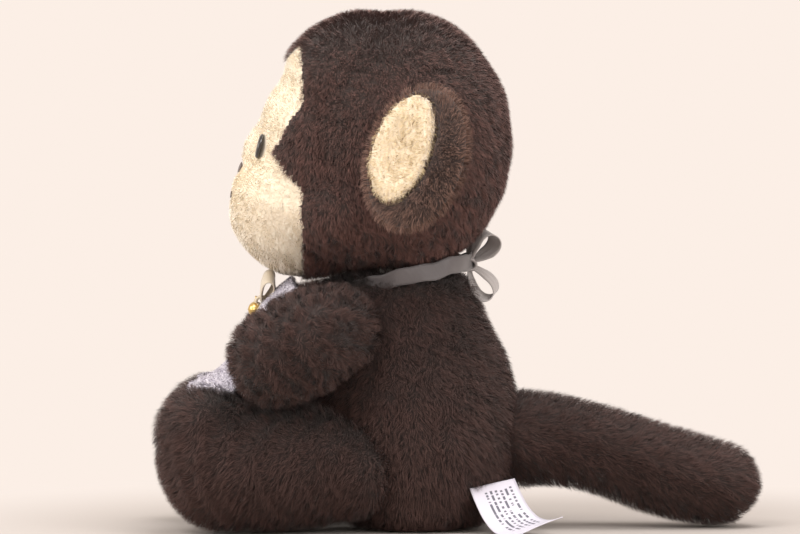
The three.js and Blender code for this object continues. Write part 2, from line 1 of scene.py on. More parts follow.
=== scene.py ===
"""The looks of the stuffed monkey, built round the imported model.

Metres. +Z is up, the monkey faces -Y and its left side is +X. Each soft part is a cloth skin made from
the solids of the model, with a plush pile of separate hairs standing on it.
"""

import json
import math

import bmesh
import bpy
import numpy as np
from mathutils import Matrix, Vector, kdtree
from mathutils.bvhtree import BVHTree


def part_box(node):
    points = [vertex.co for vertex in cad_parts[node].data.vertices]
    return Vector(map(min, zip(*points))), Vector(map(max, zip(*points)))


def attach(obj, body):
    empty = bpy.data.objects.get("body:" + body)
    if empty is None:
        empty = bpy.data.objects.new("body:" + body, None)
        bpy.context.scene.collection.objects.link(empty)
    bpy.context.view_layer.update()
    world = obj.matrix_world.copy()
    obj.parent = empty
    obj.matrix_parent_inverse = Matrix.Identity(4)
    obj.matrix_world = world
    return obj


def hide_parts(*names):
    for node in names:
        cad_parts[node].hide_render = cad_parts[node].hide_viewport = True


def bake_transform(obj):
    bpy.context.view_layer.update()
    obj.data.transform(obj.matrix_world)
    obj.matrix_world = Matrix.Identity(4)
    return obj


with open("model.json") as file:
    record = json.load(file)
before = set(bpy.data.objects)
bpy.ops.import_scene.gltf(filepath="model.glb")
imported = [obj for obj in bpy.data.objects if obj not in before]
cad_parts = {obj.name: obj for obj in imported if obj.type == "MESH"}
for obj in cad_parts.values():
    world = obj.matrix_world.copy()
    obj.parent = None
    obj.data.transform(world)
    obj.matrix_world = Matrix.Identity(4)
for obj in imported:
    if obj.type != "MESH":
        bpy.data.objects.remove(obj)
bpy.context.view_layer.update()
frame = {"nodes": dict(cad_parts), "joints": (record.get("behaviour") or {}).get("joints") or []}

MM = 0.001
SIDES = ((1, "left"), (-1, "right"))
rng = np.random.default_rng(7)
JOINTS = {joint["name"]: joint for joint in frame["joints"]}


def mm(*values):
    """A point, a move or sizes given in millimetres."""
    return np.array(values, float) * MM


def full_turn(count):
    return np.linspace(0, 2 * math.pi, count, endpoint=False)


def joint_place(name):
    return np.array(JOINTS[name]["pos_m"], float)


def box(node):
    low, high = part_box(node)
    return np.array(low, float), np.array(high, float)


def middle_of(node):
    low, high = box(node)
    return (low + high) / 2


# ---- camera, light and ground

VIEW_WIDTH = 0.4
VIEW_CENTRE = Vector((0.0, -0.010, 0.130))
CAMERA_DISTANCE = 2.4
CAMERA_ELEVATION = math.radians(1.6)


def make_camera():
    data = bpy.data.cameras.new("camera")
    data.sensor_width = 36
    data.lens = 36 * CAMERA_DISTANCE / VIEW_WIDTH
    data.clip_end = 50
    camera = bpy.data.objects.new("camera", data)
    bpy.context.scene.collection.objects.link(camera)
    out = Vector((math.cos(CAMERA_ELEVATION), 0, math.sin(CAMERA_ELEVATION)))
    camera.location = VIEW_CENTRE + out * CAMERA_DISTANCE
    camera.rotation_euler = (-out).to_track_quat("-Z", "Y").to_euler()
    bpy.context.scene.camera = camera
    bpy.context.scene.view_settings.view_transform = "Standard"


def area_light(name, place, aim, size, power, colour=(1, 1, 1)):
    data = bpy.data.lights.new(name, "AREA")
    data.shape = "DISK"
    data.size = size
    data.energy = power
    data.color = colour
    light = bpy.data.objects.new(name, data)
    bpy.context.scene.collection.objects.link(light)
    light.location = place
    light.rotation_euler = (Vector(aim) - Vector(place)).to_track_quat("-Z", "Y").to_euler()


BACKDROP = (0.973, 0.863, 0.791)


def make_lights():
    aim = (0, 0, 0.12)
    area_light("key", (1.2, -1.0, 1.7), aim, 1.0, 22, (1, 0.98, 0.95))
    area_light("top", (0.2, 0.3, 1.7), aim, 1.2, 19, (1, 0.99, 0.98))
    area_light("rear", (1.3, 1.3, 0.7), aim, 1.0, 11, (1, 0.99, 0.98))
    area_light("front", (0.35, -1.7, 0.7), aim, 0.9, 11, (1, 0.98, 0.95))
    world = bpy.data.worlds.new("studio")
    world.use_nodes = True
    background = world.node_tree.nodes["Background"]
    background.inputs["Color"].default_value = (*BACKDROP, 1)
    background.inputs["Strength"].default_value = 1.0
    bpy.context.scene.world = world


FLOOR_RADIUS = 0.9
FLOOR_COLOUR = (0.40, 0.365, 0.34)
FLOOR_MIDDLE = (0, 0.02, 0)
FLOOR_FADE = (0.13, 0.34)  # distances from the middle between which the floor turns into the backdrop


def make_ground():
    """A round pale floor, which fades into the backdrop further out."""
    around = [(FLOOR_RADIUS * math.cos(a), FLOOR_RADIUS * math.sin(a), 0)
              for a in full_turn(96)]
    mesh = bpy.data.meshes.new("ground")
    mesh.from_pydata(around, [], [tuple(range(len(around)))])
    ground = bpy.data.objects.new("ground", mesh)
    bpy.context.scene.collection.objects.link(ground)
    material, shader = new_material("pale_floor", FLOOR_COLOUR, 0.9)
    place = add_node(material, "TexCoord")
    middle = add_node(material, "VectorMath")
    middle.operation = "DISTANCE"
    middle.inputs[1].default_value = FLOOR_MIDDLE
    fade = add_node(material, "MapRange", From_Min=FLOOR_FADE[0], From_Max=FLOOR_FADE[1])
    fade.interpolation_type = "SMOOTHSTEP"
    glow = add_node(material, "Emission", Color=(*BACKDROP, 1))
    mixed = add_node(material, "MixShader")
    link(material, place, "Object", middle, 0)
    link(material, middle, "Value", fade, "Value")
    link(material, fade, "Result", mixed, 0)
    link(material, shader, "BSDF", mixed, 1)
    link(material, glow, "Emission", mixed, 2)
    link(material, mixed, "Shader", material.node_tree.nodes["Material Output"], "Surface")
    mesh.materials.append(material)


# ---- materials

def new_material(name, colour, roughness, sheen=0.0):
    material = bpy.data.materials.new(name)
    material.use_nodes = True
    shader = material.node_tree.nodes["Principled BSDF"]
    shader.inputs["Base Color"].default_value = (*colour, 1)
    shader.inputs["Roughness"].default_value = roughness
    shader.inputs["Sheen Weight"].default_value = sheen
    shader.inputs["Sheen Roughness"].default_value = 0.5
    material.diffuse_color = (*colour, 1)
    return material, shader


def add_node(material, kind, **inputs):
    """A shader node with the given values at its inputs."""
    node = material.node_tree.nodes.new(f"ShaderNode{kind}")
    for name, value in inputs.items():
        node.inputs[name.replace("_", " ")].default_value = value
    return node


def link(material, made, output, used, target):
    material.node_tree.links.new(made.outputs[output], used.inputs[target])


def colour_ramp(material, dark, light, low=0.0, high=1.0):
    ramp = add_node(material, "ValToRGB")
    for element, colour, position in zip(ramp.color_ramp.elements, (dark, light), (low, high)):
        element.color = (*colour, 1)
        element.position = position
    return ramp


def cloth_material(name, dark, light, scale=900.0, roughness=0.9, sheen=0.3):
    """A surface mottled between two shades."""
    material, shader = new_material(name, light, roughness, sheen)
    place = add_node(material, "TexCoord")
    noise = add_node(material, "TexNoise", Scale=scale, Detail=4)
    ramp = colour_ramp(material, dark, light, 0.3, 0.7)
    link(material, place, "Object", noise, "Vector")
    link(material, noise, "Fac", ramp, "Fac")
    link(material, ramp, "Color", shader, "Base Color")
    return material


HAIR_SHINE = 0.3


def shades(name, colours, roughness=0.75, sheen=0.12):
    """One plain material for each shade of hair."""
    made = []
    for i, colour in enumerate(colours):
        material, shader = new_material(f"{name}_{i}", colour, roughness, sheen)
        shader.inputs["Specular IOR Level"].default_value = HAIR_SHINE
        made.append(material)
    return made


# ---- skins

def add_object(name, mesh):
    made = bpy.data.objects.new(name, mesh)
    bpy.context.scene.collection.objects.link(made)
    return made


def dress(made, material, body, nodes=()):
    """Gives a piece its material and the body it rides on, and hides the nodes that it stands for."""
    made.data.materials.append(material)
    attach(made, body)
    if nodes:
        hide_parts(*nodes)
    return made


def mesh_of(points, faces, name="made", smooth=False):
    mesh = bpy.data.meshes.new(name)
    mesh.from_pydata([tuple(p) for p in points], [], faces)
    if smooth:
        mesh.polygons.foreach_set("use_smooth", [True] * len(mesh.polygons))
    mesh.update()
    return mesh


def ring_faces(rings, around):
    """Faces between rings of points, closed at both ends."""
    faces = [(i * around + j, i * around + (j + 1) % around, (i + 1) * around + (j + 1) % around,
              (i + 1) * around + j) for i in range(rings - 1) for j in range(around)]
    faces.append(tuple(reversed(range(around))))
    faces.append(tuple((rings - 1) * around + j for j in range(around)))
    return faces


def gathered(meshes):
    """Points and faces of several meshes as one."""
    points, faces = [], []
    for mesh in meshes:
        start = len(points)
        points.extend(tuple(v.co) for v in mesh.vertices)
        faces.extend(tuple(start + i for i in p.vertices) for p in mesh.polygons)
    return points, faces


def rounded(name, meshes, voxel, smoothing, inset):
    """One soft closed skin round some solids, a little inside them."""
    made = add_object(name, mesh_of(*gathered(meshes), name))
    remesh = made.modifiers.new("remesh", "REMESH")
    remesh.mode = "VOXEL"
    remesh.voxel_size = voxel
    smooth = made.modifiers.new("smooth", "SMOOTH")
    smooth.factor = 0.5
    smooth.iterations = smoothing
    graph = bpy.context.evaluated_depsgraph_get()
    graph.update()
    skin = bpy.data.meshes.new_from_object(made.evaluated_get(graph))
    made.modifiers.clear()
    made.data = skin
    skin.name = name
    move_along_normals(skin, -inset)
    skin.polygons.foreach_set("use_smooth", [True] * len(skin.polygons))
    return made


def points_and_normals(mesh):
    count = len(mesh.vertices)
    points = np.empty(count * 3)
    normals = np.empty(count * 3)
    mesh.vertices.foreach_get("co", points)
    mesh.vertices.foreach_get("normal", normals)
    return points.reshape(-1, 3), normals.reshape(-1, 3)


def set_points(mesh, points):
    mesh.vertices.foreach_set("co", points.reshape(-1))
    mesh.update()


def move_along_normals(mesh, distance):
    points, normals = points_and_normals(mesh)
    set_points(mesh, points + normals * distance)


def ellipsoid(centre, half, tilt=0.0):
    """A closed ellipsoid. tilt leans its top forwards, in radians."""
    made = bmesh.new()
    bmesh.ops.create_uvsphere(made, u_segments=48, v_segments=28, radius=1)
    turn = Matrix.Rotation(tilt, 4, "X")
    bmesh.ops.transform(made, matrix=Matrix.Translation(centre) @ turn @ Matrix.Diagonal((*half, 1)),
                        verts=made.verts)
    mesh = bpy.data.meshes.new("ellipsoid")
    made.to_mesh(mesh)
    made.free()
    return mesh


def lofted(centres, radii, ways, around=40):
    """Points and faces of a closed body with round rings square to a line."""
    across = np.eye(3)[np.abs(ways).max(0).argmin()]
    angles = full_turn(around)
    points = []
    for centre, radius, way in zip(centres, radii, ways):
        u = unit_one(across - way * (across @ way))
        v = np.cross(way, u)
        points.extend(centre + radius * (math.cos(a) * u + math.sin(a) * v) for a in angles)
    return points, ring_faces(len(centres), around)


def unit_one(vector):
    return vector / np.linalg.norm(vector)


def round_tube(path, radii, around=40):
    """A tube along a line, with round ends."""
    path = np.array(path, float)
    radii = np.array(radii, float)
    ways = unit(np.gradient(path, axis=0))
    turns = np.radians(np.arange(80, 0, -10))
    first = path[0] - ways[0] * (radii[0] * np.sin(turns))[:, None]
    last = path[-1] + ways[-1] * (radii[-1] * np.sin(turns[::-1]))[:, None]
    centres = np.vstack([first, path, last])
    sizes = np.concatenate([radii[0] * np.cos(turns), radii, radii[-1] * np.cos(turns[::-1])])
    lines = np.vstack([np.tile(ways[0], (len(turns), 1)), ways, np.tile(ways[-1], (len(turns), 1))])
    return mesh_of(*lofted(centres, sizes, lines, around))


def smooth_line(points, count):
    """Evenly spread points on a smooth line through the given ones."""
    points = np.array(points, float)
    padded = np.vstack([2 * points[0] - points[1], points, 2 * points[-1] - points[-2]])
    fine = []
    for a, b, c, d in zip(padded, padded[1:], padded[2:], padded[3:]):
        t = np.linspace(0, 1, 24, endpoint=False)[:, None]
        fine.append(0.5 * (2 * b + (c - a) * t + (2 * a - 5 * b + 4 * c - d) * t ** 2
                           + (3 * b - a - 3 * c + d) * t ** 3))
    fine = np.vstack([*fine, points[-1:]])
    lengths = np.concatenate([[0], np.cumsum(np.linalg.norm(np.diff(fine, axis=0), axis=1))])
    wanted = np.linspace(0, lengths[-1], count)
    return np.stack([np.interp(wanted, lengths, fine[:, i]) for i in range(points.shape[1])], axis=1)


def surface_of(*objects):
    """The surface of some objects, for finding heights on them."""
    points, faces = gathered([made.data for made in objects])
    return BVHTree.FromPolygons(points, faces)


def sheet_object(name, rows, thickness, closed=False):
    """A sheet of cloth through rows of points, with the length along the rows and the width across."""
    rows = np.array(rows, float)
    n, m = rows.shape[:2]
    if closed:
        along = np.roll(rows, -1, axis=0) - np.roll(rows, 1, axis=0)
    else:
        along = np.gradient(rows, axis=0)
    across = np.gradient(rows, axis=1)
    normal = np.cross(along, across)
    normal /= np.maximum(np.linalg.norm(normal, axis=2, keepdims=True), 1e-12)
    edge = np.ones((1, m, 1))
    edge[0, [0, -1], 0] = 1.7
    half = normal * edge * thickness / 2
    points = np.concatenate([(rows + half).reshape(-1, 3), (rows - half).reshape(-1, 3)])
    under = n * m
    faces, marks = [], []
    spans = n if closed else n - 1
    for i in range(spans):
        k = (i + 1) % n
        for j in range(m - 1):
            a, b, c, d = i * m + j, k * m + j, k * m + j + 1, i * m + j + 1
            faces.append((a, b, c, d))
            faces.append((under + d, under + c, under + b, under + a))
            place = ((i, j), (i + 1, j), (i + 1, j + 1), (i, j + 1))
            marks.extend([*place, *reversed(place)])
        for j, order in ((0, 1), (m - 1, -1)):
            loop = [i * m + j, under + i * m + j, under + k * m + j, k * m + j]
            faces.append(tuple(loop[::order]))
            marks.extend([(i, j)] * 4)
    if not closed:
        for i, order in ((0, -1), (n - 1, 1)):
            for j in range(m - 1):
                loop = [i * m + j, under + i * m + j, under + i * m + j + 1, i * m + j + 1]
                faces.append(tuple(loop[::order]))
                marks.extend([(i, j)] * 4)
    mesh = mesh_of(points, faces, name, smooth=True)
    length = np.linalg.norm(np.diff(rows.mean(1), axis=0), axis=1).sum()
    width = np.linalg.norm(np.diff(rows, axis=1), axis=2).sum(1).mean()
    uv = mesh.uv_layers.new(name="cloth")
    spread = np.array(marks, float) * np.array([length / max(spans, 1), width / (m - 1)]) / MM
    uv.data.foreach_set("uv", spread.reshape(-1))
    return add_object(name, mesh)


def threads(name, lines, radius):
    """Round threads along lines of points, as one object."""
    points, faces = [], []
    for line in lines:
        line = np.array(line, float)
        ways = unit(np.gradient(line, axis=0))
        reach = np.linspace(-1, 1, len(line))
        sizes = radius * np.sqrt(np.clip(1.02 - reach ** 8, 0.02, 1))
        more, made = lofted(line, sizes, ways, 8)
        start = len(points)
        points.extend(more)
        faces.extend(tuple(start + i for i in face) for face in made)
    return add_object(name, mesh_of(points, faces, name, smooth=True))


TORSO_ROWS = [  # shares of the height, the front, the back and the half width
    (0.0, 0.5, 0.54, 0.7),
    (0.05, 0.62, 0.74, 0.86),
    (0.18, 0.72, 0.9, 0.96),
    (0.35, 0.86, 1, 1),
    (0.53, 0.99, 0.98, 0.93),
    (0.7, 1, 0.86, 0.8),
    (0.85, 0.92, 0.66, 0.69),
    (0.945, 0.82, 0.57, 0.62),
    (0.985, 0.78, 0.53, 0.56),
    (1.015, 0.72, 0.48, 0.5),
    (1.03, 0.5, 0.3, 0.35),
]


def torso_mesh():
    """The pear shape of the torso as a stack of ovals, without the hollows for the limbs."""
    low, high = box("torso_cover")
    back = joint_place("tail_lift")[1] + 2 * MM
    shares = np.array(TORSO_ROWS)
    heights = np.linspace(0, shares[-1, 0], 48)
    front, rear, half = (np.interp(heights, shares[:, 0], shares[:, i]) for i in (1, 2, 3))
    around = full_turn(64)
    points = []
    for h, f, r, w in zip(heights, front, rear, half):
        y_front, y_back = f * low[1], r * back
        middle, depth = (y_front + y_back) / 2, (y_back - y_front) / 2
        points.extend(
            (w * high[0] * math.cos(a), middle + depth * math.sin(a), h * high[2]) for a in around)
    return mesh_of(points, ring_faces(len(heights), len(around)))


# ---- pile

def swirl(points, size, seed):
    """A smooth random vector at each point, which changes over about the given size."""
    waves = np.random.default_rng(seed)
    total = np.zeros_like(points)
    for _ in range(7):
        direction = waves.normal(size=3)
        direction /= np.linalg.norm(direction)
        rate = 2 * math.pi / (size * waves.uniform(0.7, 1.8))
        phase = waves.uniform(0, 2 * math.pi)
        wave = np.sin(points @ direction * rate + phase)
        total += wave[:, None] * waves.normal(size=3)
    return total / 2.6


def unit(vectors):
    return vectors / np.maximum(np.linalg.norm(vectors, axis=1, keepdims=True), 1e-9)


def scattered(mesh, per_mm2):
    """Random places on a mesh, with the smooth normal at each."""
    points, normals = points_and_normals(mesh)
    mesh.calc_loop_triangles()
    corners = np.empty(len(mesh.loop_triangles) * 3, dtype=np.int32)
    mesh.loop_triangles.foreach_get("vertices", corners)
    a, b, c = corners.reshape(-1, 3).T
    areas = np.linalg.norm(np.cross(points[b] - points[a], points[c] - points[a]), axis=1) / 2
    count = int(areas.sum() * 1e6 * per_mm2)
    chosen = rng.choice(len(areas), size=count, p=areas / areas.sum())
    u, v = rng.random((2, count, 1))
    over = (u + v) > 1
    u, v = np.where(over, 1 - u, u), np.where(over, 1 - v, v)
    a, b, c = a[chosen], b[chosen], c[chosen]
    place = points[a] * (1 - u - v) + points[b] * u + points[c] * v
    normal = unit(normals[a] * (1 - u - v) + normals[b] * u + normals[c] * v)
    return place, normal


def tufted(root, tip, spacing, pull):
    """Tips drawn together into small tufts."""
    count = max(1, int(len(root) * 0.04))
    leaders = rng.choice(len(root), size=count, replace=False)
    tree = kdtree.KDTree(count)
    for i, leader in enumerate(leaders):
        tree.insert(root[leader], i)
    tree.balance()
    near = np.array([tree.find(p)[1] for p in root])
    offset = tip[leaders] - root[leaders]
    gap = np.linalg.norm(root - root[leaders[near]], axis=1, keepdims=True)
    share = pull * rng.uniform(0.3, 1, (len(root), 1)) * np.clip(1.6 - gap / spacing, 0, 1)
    return tip + (root[leaders[near]] + offset[near] - tip) * share


GROUND_ROOM = 0.4 * MM
BLADE_TAPER = 0.8  # width at the middle of a hair, as a share of its width at the root


def hair_mesh(name, root, normal, middle, tip, width, materials, shade):
    """Each hair is a blade of two stretches that narrows to a point, with its face to the outside."""
    count = len(root)
    along = unit(tip - root)
    face = unit(normal + swirl(root, 0.6 * MM, 5) * 0.5)
    side = unit(np.cross(along, face)) * width[:, None] / 2
    points = np.empty((count, 5, 3))
    points[:, 0] = root - side
    points[:, 1] = root + side
    points[:, 2] = middle + side * BLADE_TAPER
    points[:, 3] = middle - side * BLADE_TAPER
    points[:, 4] = tip
    points[:, :, 2] = np.maximum(points[:, :, 2], GROUND_ROOM)
    outward = np.cross(points[:, 1] - points[:, 0], points[:, 3] - points[:, 0])
    flip = (outward * normal).sum(1) < 0
    points[flip, 0], points[flip, 1] = points[flip, 1].copy(), points[flip, 0].copy()
    points[flip, 2], points[flip, 3] = points[flip, 3].copy(), points[flip, 2].copy()
    start = np.arange(count)[:, None] * 5
    corners = (start + np.array([0, 1, 2, 3, 3, 2, 4])).reshape(-1)
    mesh = bpy.data.meshes.new(name)
    mesh.vertices.add(count * 5)
    mesh.vertices.foreach_set("co", points.reshape(-1))
    mesh.loops.add(count * 7)
    mesh.loops.foreach_set("vertex_index", corners.astype(np.int32))
    mesh.polygons.add(count * 2)
    starts = (np.arange(count)[:, None] * 7 + np.array([0, 4])).reshape(-1)
    mesh.polygons.foreach_set("loop_start", starts.astype(np.int32))
    for material in materials:
        mesh.materials.append(material)
    # the lower stretch of each hair takes its root shade, darkened as painted shade, and the tip takes its
    # tip shade, lightened as painted light
    pairs = np.stack([shade * 2, shade * 2 + 1], axis=1).reshape(-1)
    mesh.polygons.foreach_set("material_index", pairs.astype(np.int32))
    mesh.polygons.foreach_set("use_smooth", np.ones(count * 2, dtype=bool))
    mesh.update(calc_edges=True)
    across = unit(normal - along * (normal * along).sum(1, keepdims=True))
    shading = unit(across * 0.6 + normal * 0.6 + swirl(root, 0.8 * MM, 9) * 0.12)
    mesh.normals_split_custom_set_from_vertices(np.repeat(shading, 5, axis=0))
    return mesh


SHORTEST = 0.02  # share of full length under which a hair is left out
SINK = 0.3 * MM  # of the roots in the cloth
LIE_TURNS = [(9 * MM, 1, 0.42), (3 * MM, 2, 0.3)]  # size, seed and strength
STRETCHES = [(0.7, 0.16), (1.7, 0.22)]  # tilt and unevenness of a hair's lower and upper half
PATCH_SIZE = 14 * MM


def pile(name, skin, per_mm2, length, lay, materials, body, keep=None, lean=0.75, width=0.19,
         tuft=1.6, pull=0.5):
    """Plush pile on a skin. lay gives the way the hairs lie, and keep the share of full length, where
    0 leaves the skin bare. width and tuft, the reach of a tuft, are in millimetres."""
    root, normal = scattered(skin.data, per_mm2)
    share = np.ones(len(root)) if keep is None else keep(root, normal)
    kept = share > SHORTEST
    root, normal, share = root[kept], normal[kept], share[kept]
    count = len(root)
    flow = lay(root, normal)
    for size, seed, strength in LIE_TURNS:
        flow = flow + swirl(root, size, seed) * strength
    flow = unit(flow - normal * (flow * normal).sum(1, keepdims=True))
    size = (length * share * rng.uniform(0.75, 1.12, count))[:, None]
    tilt = lean * rng.uniform(0.75, 1.25, (count, 1))
    stops = [root]
    for bend, unevenness in STRETCHES:
        way = unit(normal + flow * tilt * bend + rng.normal(0, unevenness, (count, 3)))
        stops.append(stops[-1] + way * size * 0.5)
    _, middle, tip = stops
    tip = tufted(root, tip, tuft * MM, pull)
    groups = len(materials) // 2
    patch = swirl(root, PATCH_SIZE, 3)[:, 0] * 0.5 + rng.normal(0, 0.8, count)
    shade = np.clip(((patch + 1.6) / 3.2 * groups).astype(int), 0, groups - 1)
    widths = width * MM * rng.uniform(0.75, 1.2, count)
    made = add_object(name, hair_mesh(name, root - normal * SINK, normal, middle, tip, widths, materials,
                                      shade))
    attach(made, body)
    return made


# ---- colours of the plush

def hair_shades(name, colours, tip_painted_light, root_painted_shade=0.75):
    """Root and tip shades, in turn. The root shade is the colour darkened as painted shade among the hairs,
    and the tip shade is the colour lightened as painted light on the tips.
    """
    pairs = []
    for colour in colours:
        pairs.append(tuple(c * root_painted_shade for c in colour))
        pairs.append(tuple(min(1, c * g) for c, g in zip(colour, tip_painted_light)))
    return shades(name, pairs)


# middle colours of each plush, then the gain for the tips' painted light and, for the face and ears, the
# gain for the roots' painted shade
BODY_HAIR = hair_shades(
    "body_hair", [(0.050, 0.0255, 0.021), (0.062, 0.032, 0.0265), (0.076, 0.039, 0.033)], (1.2, 1.2, 1.2))
HOOD_HAIR = hair_shades(
    "hood_hair", [(0.091, 0.0435, 0.036), (0.115, 0.055, 0.0455), (0.139, 0.068, 0.056)], (1.2, 1.2, 1.2))
# the back of each ear is the hood's plush lightened all over, as painted light along the ear's rim
RIM_HAIR_PAINTED_LIGHT = hair_shades(
    "rim_hair", [(0.140, 0.078, 0.058), (0.176, 0.099, 0.075), (0.214, 0.122, 0.092)], (1.2, 1.2, 1.2))
FACE_HAIR = hair_shades(
    "face_hair", [(0.89, 0.79, 0.65), (0.92, 0.84, 0.70), (0.94, 0.88, 0.75)], (1.02, 1.04, 1.08), 0.97)
EAR_HAIR = hair_shades(
    "ear_hair", [(0.73, 0.57, 0.33), (0.77, 0.62, 0.38), (0.81, 0.67, 0.44)], (1.04, 1.06, 1.1), 0.95)


def flow_along(direction):
    steady = np.array(direction, float)
    return lambda root, normal: np.broadcast_to(steady, root.shape)


# ---- soft parts

PILE = {"body": 6.4 * MM, "hood": 4.8 * MM, "face": 2.2 * MM, "ear": 2.8 * MM, "rim": 4.8 * MM}
HAIRS = 2.8  # to a square millimetre of dark plush
INSET = 3.0 * MM
SKIN_VOXEL = 2.5 * MM
BULGE_SIZE = 28 * MM
SEAT_PRESSED = 5 * MM  # height up to which the pile is pressed short

ARM_RADII = [23 * MM, 27 * MM, 24 * MM]  # at the shoulder, halfway and at the paw
PAW_RADIUS = 22 * MM
LEG_RADII = [25.5 * MM, 30.5 * MM, 31.5 * MM, 30 * MM]  # behind the hip, at it, halfway, at the ankle
SOLE_HALF = mm(26.5, 29, 35.2)
SOLE_LEAN = math.radians(18)
TOE_HALF = mm(24, 23.5, 24)
TOE_HEIGHT = 50 * MM
TAIL_TIP_RADIUS = 22.2 * MM
TAIL_RADII = [24 * MM, 22.2 * MM, 22.6 * MM, 21.6 * MM]
TAIL_RADII_AT = [0, 0.25, 0.8, 1]  # shares of the tail's length


def seat_share(root, normal=None):
    """Hair is pressed short where the toy sits on it."""
    return np.clip(root[:, 2] / SEAT_PRESSED, 0.0, 1.0)


def wobble(skin, height, size, seed):
    """Slight unevenness of the stuffing."""
    points, normals = points_and_normals(skin.data)
    bulge = swirl(points, size, seed)[:, :1]
    set_points(skin.data, points + normals * bulge * height)


def stuffed_part(name, meshes, body, backing, nodes, smoothing=10, uneven=0.5 * MM):
    skin = rounded(name, meshes, SKIN_VOXEL, smoothing, INSET)
    wobble(skin, uneven, BULGE_SIZE, len(name))
    return dress(skin, backing, body, nodes)


def fur(name, skin, per_mm2, length, lay, materials, body, slot, **more):
    made = pile(name, skin, per_mm2, length, lay, materials, body, **more)
    return made


def towards(place, away=False):
    place = np.array(place, float)
    sign = -1 if away else 1
    return lambda root, normal: unit(place - root) * sign


def dark_part(body, meshes, nodes, lay, length=PILE["body"], keep=None):
    """A dark plush part and its pile, which are named after their body."""
    skin = stuffed_part(f"{body}_skin", meshes, body, DARK_BACKING, nodes)
    fur(f"{body}_pile", skin, HAIRS, length, lay, BODY_HAIR, body, "dark_plush", keep=keep)
    return skin


def make_torso():
    skin = stuffed_part("torso_skin", [torso_mesh()], "torso", DARK_BACKING,
                        ["torso_cover", "torso_filling", "seat_pellet_bag"])
    lay = flow_along((0, 0.05, -1))
    for part, front in (("front", True), ("back", False)):
        fur(f"torso_{part}_pile", skin, HAIRS, PILE["body"], lay, BODY_HAIR, "torso", "dark_plush",
            keep=lambda root, normal: ((root[:, 1] < 0) == front) * seat_share(root))


def make_arm(side, word):
    shoulder = joint_place(f"{word}_arm_swing")
    low, high = box(f"{word}_arm_cover")
    paw = np.array([shoulder[0] + side * 3.5 * MM, low[1] + PAW_RADIUS, low[2] + PAW_RADIUS])
    inner = shoulder + mm(-7 * side, -12, -1)
    middle = (shoulder + paw) / 2 + mm(0, -3, 1.5)
    path = smooth_line([inner, middle, paw + mm(0, -1, -1.5)], 9)
    radii = np.interp(np.linspace(0, 1, 9), [0, 0.5, 1], ARM_RADII)
    nodes = [f"{word}_arm_cover", f"{word}_arm_filling", f"{word}_shoulder_stitching"]
    return dark_part(f"{word}_arm", [round_tube(path, radii)], nodes,
                     flow_along(paw - shoulder + (0, 0, -0.02)), length=PILE["body"] * 0.95)


def make_leg(side, word):
    hip = joint_place(f"{word}_leg_spread")
    low, high = box(f"{word}_leg_cover")
    foot = np.array([hip[0] + side * 5.9 * MM, low[1] + SOLE_HALF[1] + 3.5 * MM, SOLE_HALF[2] + 0.3 * MM])
    ankle = np.array([hip[0] + side * 4.8 * MM, foot[1] + 12 * MM, 32 * MM])
    inner = hip + mm(2 * side, 13, -2)
    leg = round_tube([inner, hip, (hip + ankle) / 2, ankle], LEG_RADII)
    sole = ellipsoid(foot, SOLE_HALF, SOLE_LEAN)
    toes = ellipsoid((foot[0], low[1] + TOE_HALF[1] + 2 * MM, TOE_HEIGHT), TOE_HALF)
    nodes = [f"{word}_leg_cover", f"{word}_leg_filling", f"{word}_hip_stitching"]
    return dark_part(f"{word}_leg", [leg, sole, toes], nodes, flow_along((0, -0.7, -0.75)), keep=seat_share)


def make_limbs():
    skins = []
    for side, word in SIDES:
        skins.append(make_arm(side, word))
        skins.append(make_leg(side, word))
    return skins


def make_tail():
    root = joint_place("tail_lift")
    low, high = box("tail_cover")
    share = np.linspace(0, 1, 24)
    reach = high[1] - TAIL_TIP_RADIUS - root[1]
    drop = root[2] - TAIL_TIP_RADIUS
    ease = share ** 3 * (share * (share * 6 - 15) + 10)
    sag = 0.55 * ease + 0.45 * share ** 2.2
    path = np.stack([0 * share, root[1] + reach * share, root[2] - drop * sag], axis=1)
    radii = np.interp(share, TAIL_RADII_AT, TAIL_RADII)
    dark_part("tail", [round_tube(path, radii)], ["tail_cover", "tail_filling"],
              flow_along((0, 1, -0.3)), keep=seat_share)


# ---- head

HEAD_LOBES = [  # places from the head's centre and half sizes, in millimetres
    ((0, 0, 0), (70, 56.5, 66.5)),  # the back of the head
    ((0, -26, -2), (54, 48, 50)),  # the brow
    ((0, -28, 27.5), (50, 33, 35)),  # the fringe
    ((0, -18, 29.5), (50, 34, 37.5)),  # the crown
    ((0, -61, -9.5), (16, 21, 23)),  # the bridge of the nose
    ((0, -57, -9), (30, 18.5, 24)),  # the rims of the eyes
    ((0, -48, -32), (46, 39.5, 37.5)),  # the muzzle
    ((0, -25, -34), (60, 42, 31)),  # the cheeks
]
# The seam between the face and the hood, seen from the front, from the head's centre in millimetres.
FACE_TOP_HALF = [(0, 40), (15, 47), (33, 36), (39, 20), (36, 6), (29, -5)]
FACE_LOWER_HALF = [(29, -5), (37, -14), (45, -31), (42, -49), (28, -63), (0, -71)]
FACE_BACK = 58 * MM


def head_centre():
    low, high = box("head_cover")
    return np.array([0, high[1] - 55 * MM, high[2] - 65.5 * MM])


def face_outline():
    """The seam between the face and the hood, seen from the front, in metres."""
    half = np.vstack([smooth_line(FACE_TOP_HALF, 40), smooth_line(FACE_LOWER_HALF, 40)[1:]])
    loop = np.vstack([half, half[::-1] * (-1, 1)])
    centre = head_centre()
    return loop * MM + (0, centre[2])


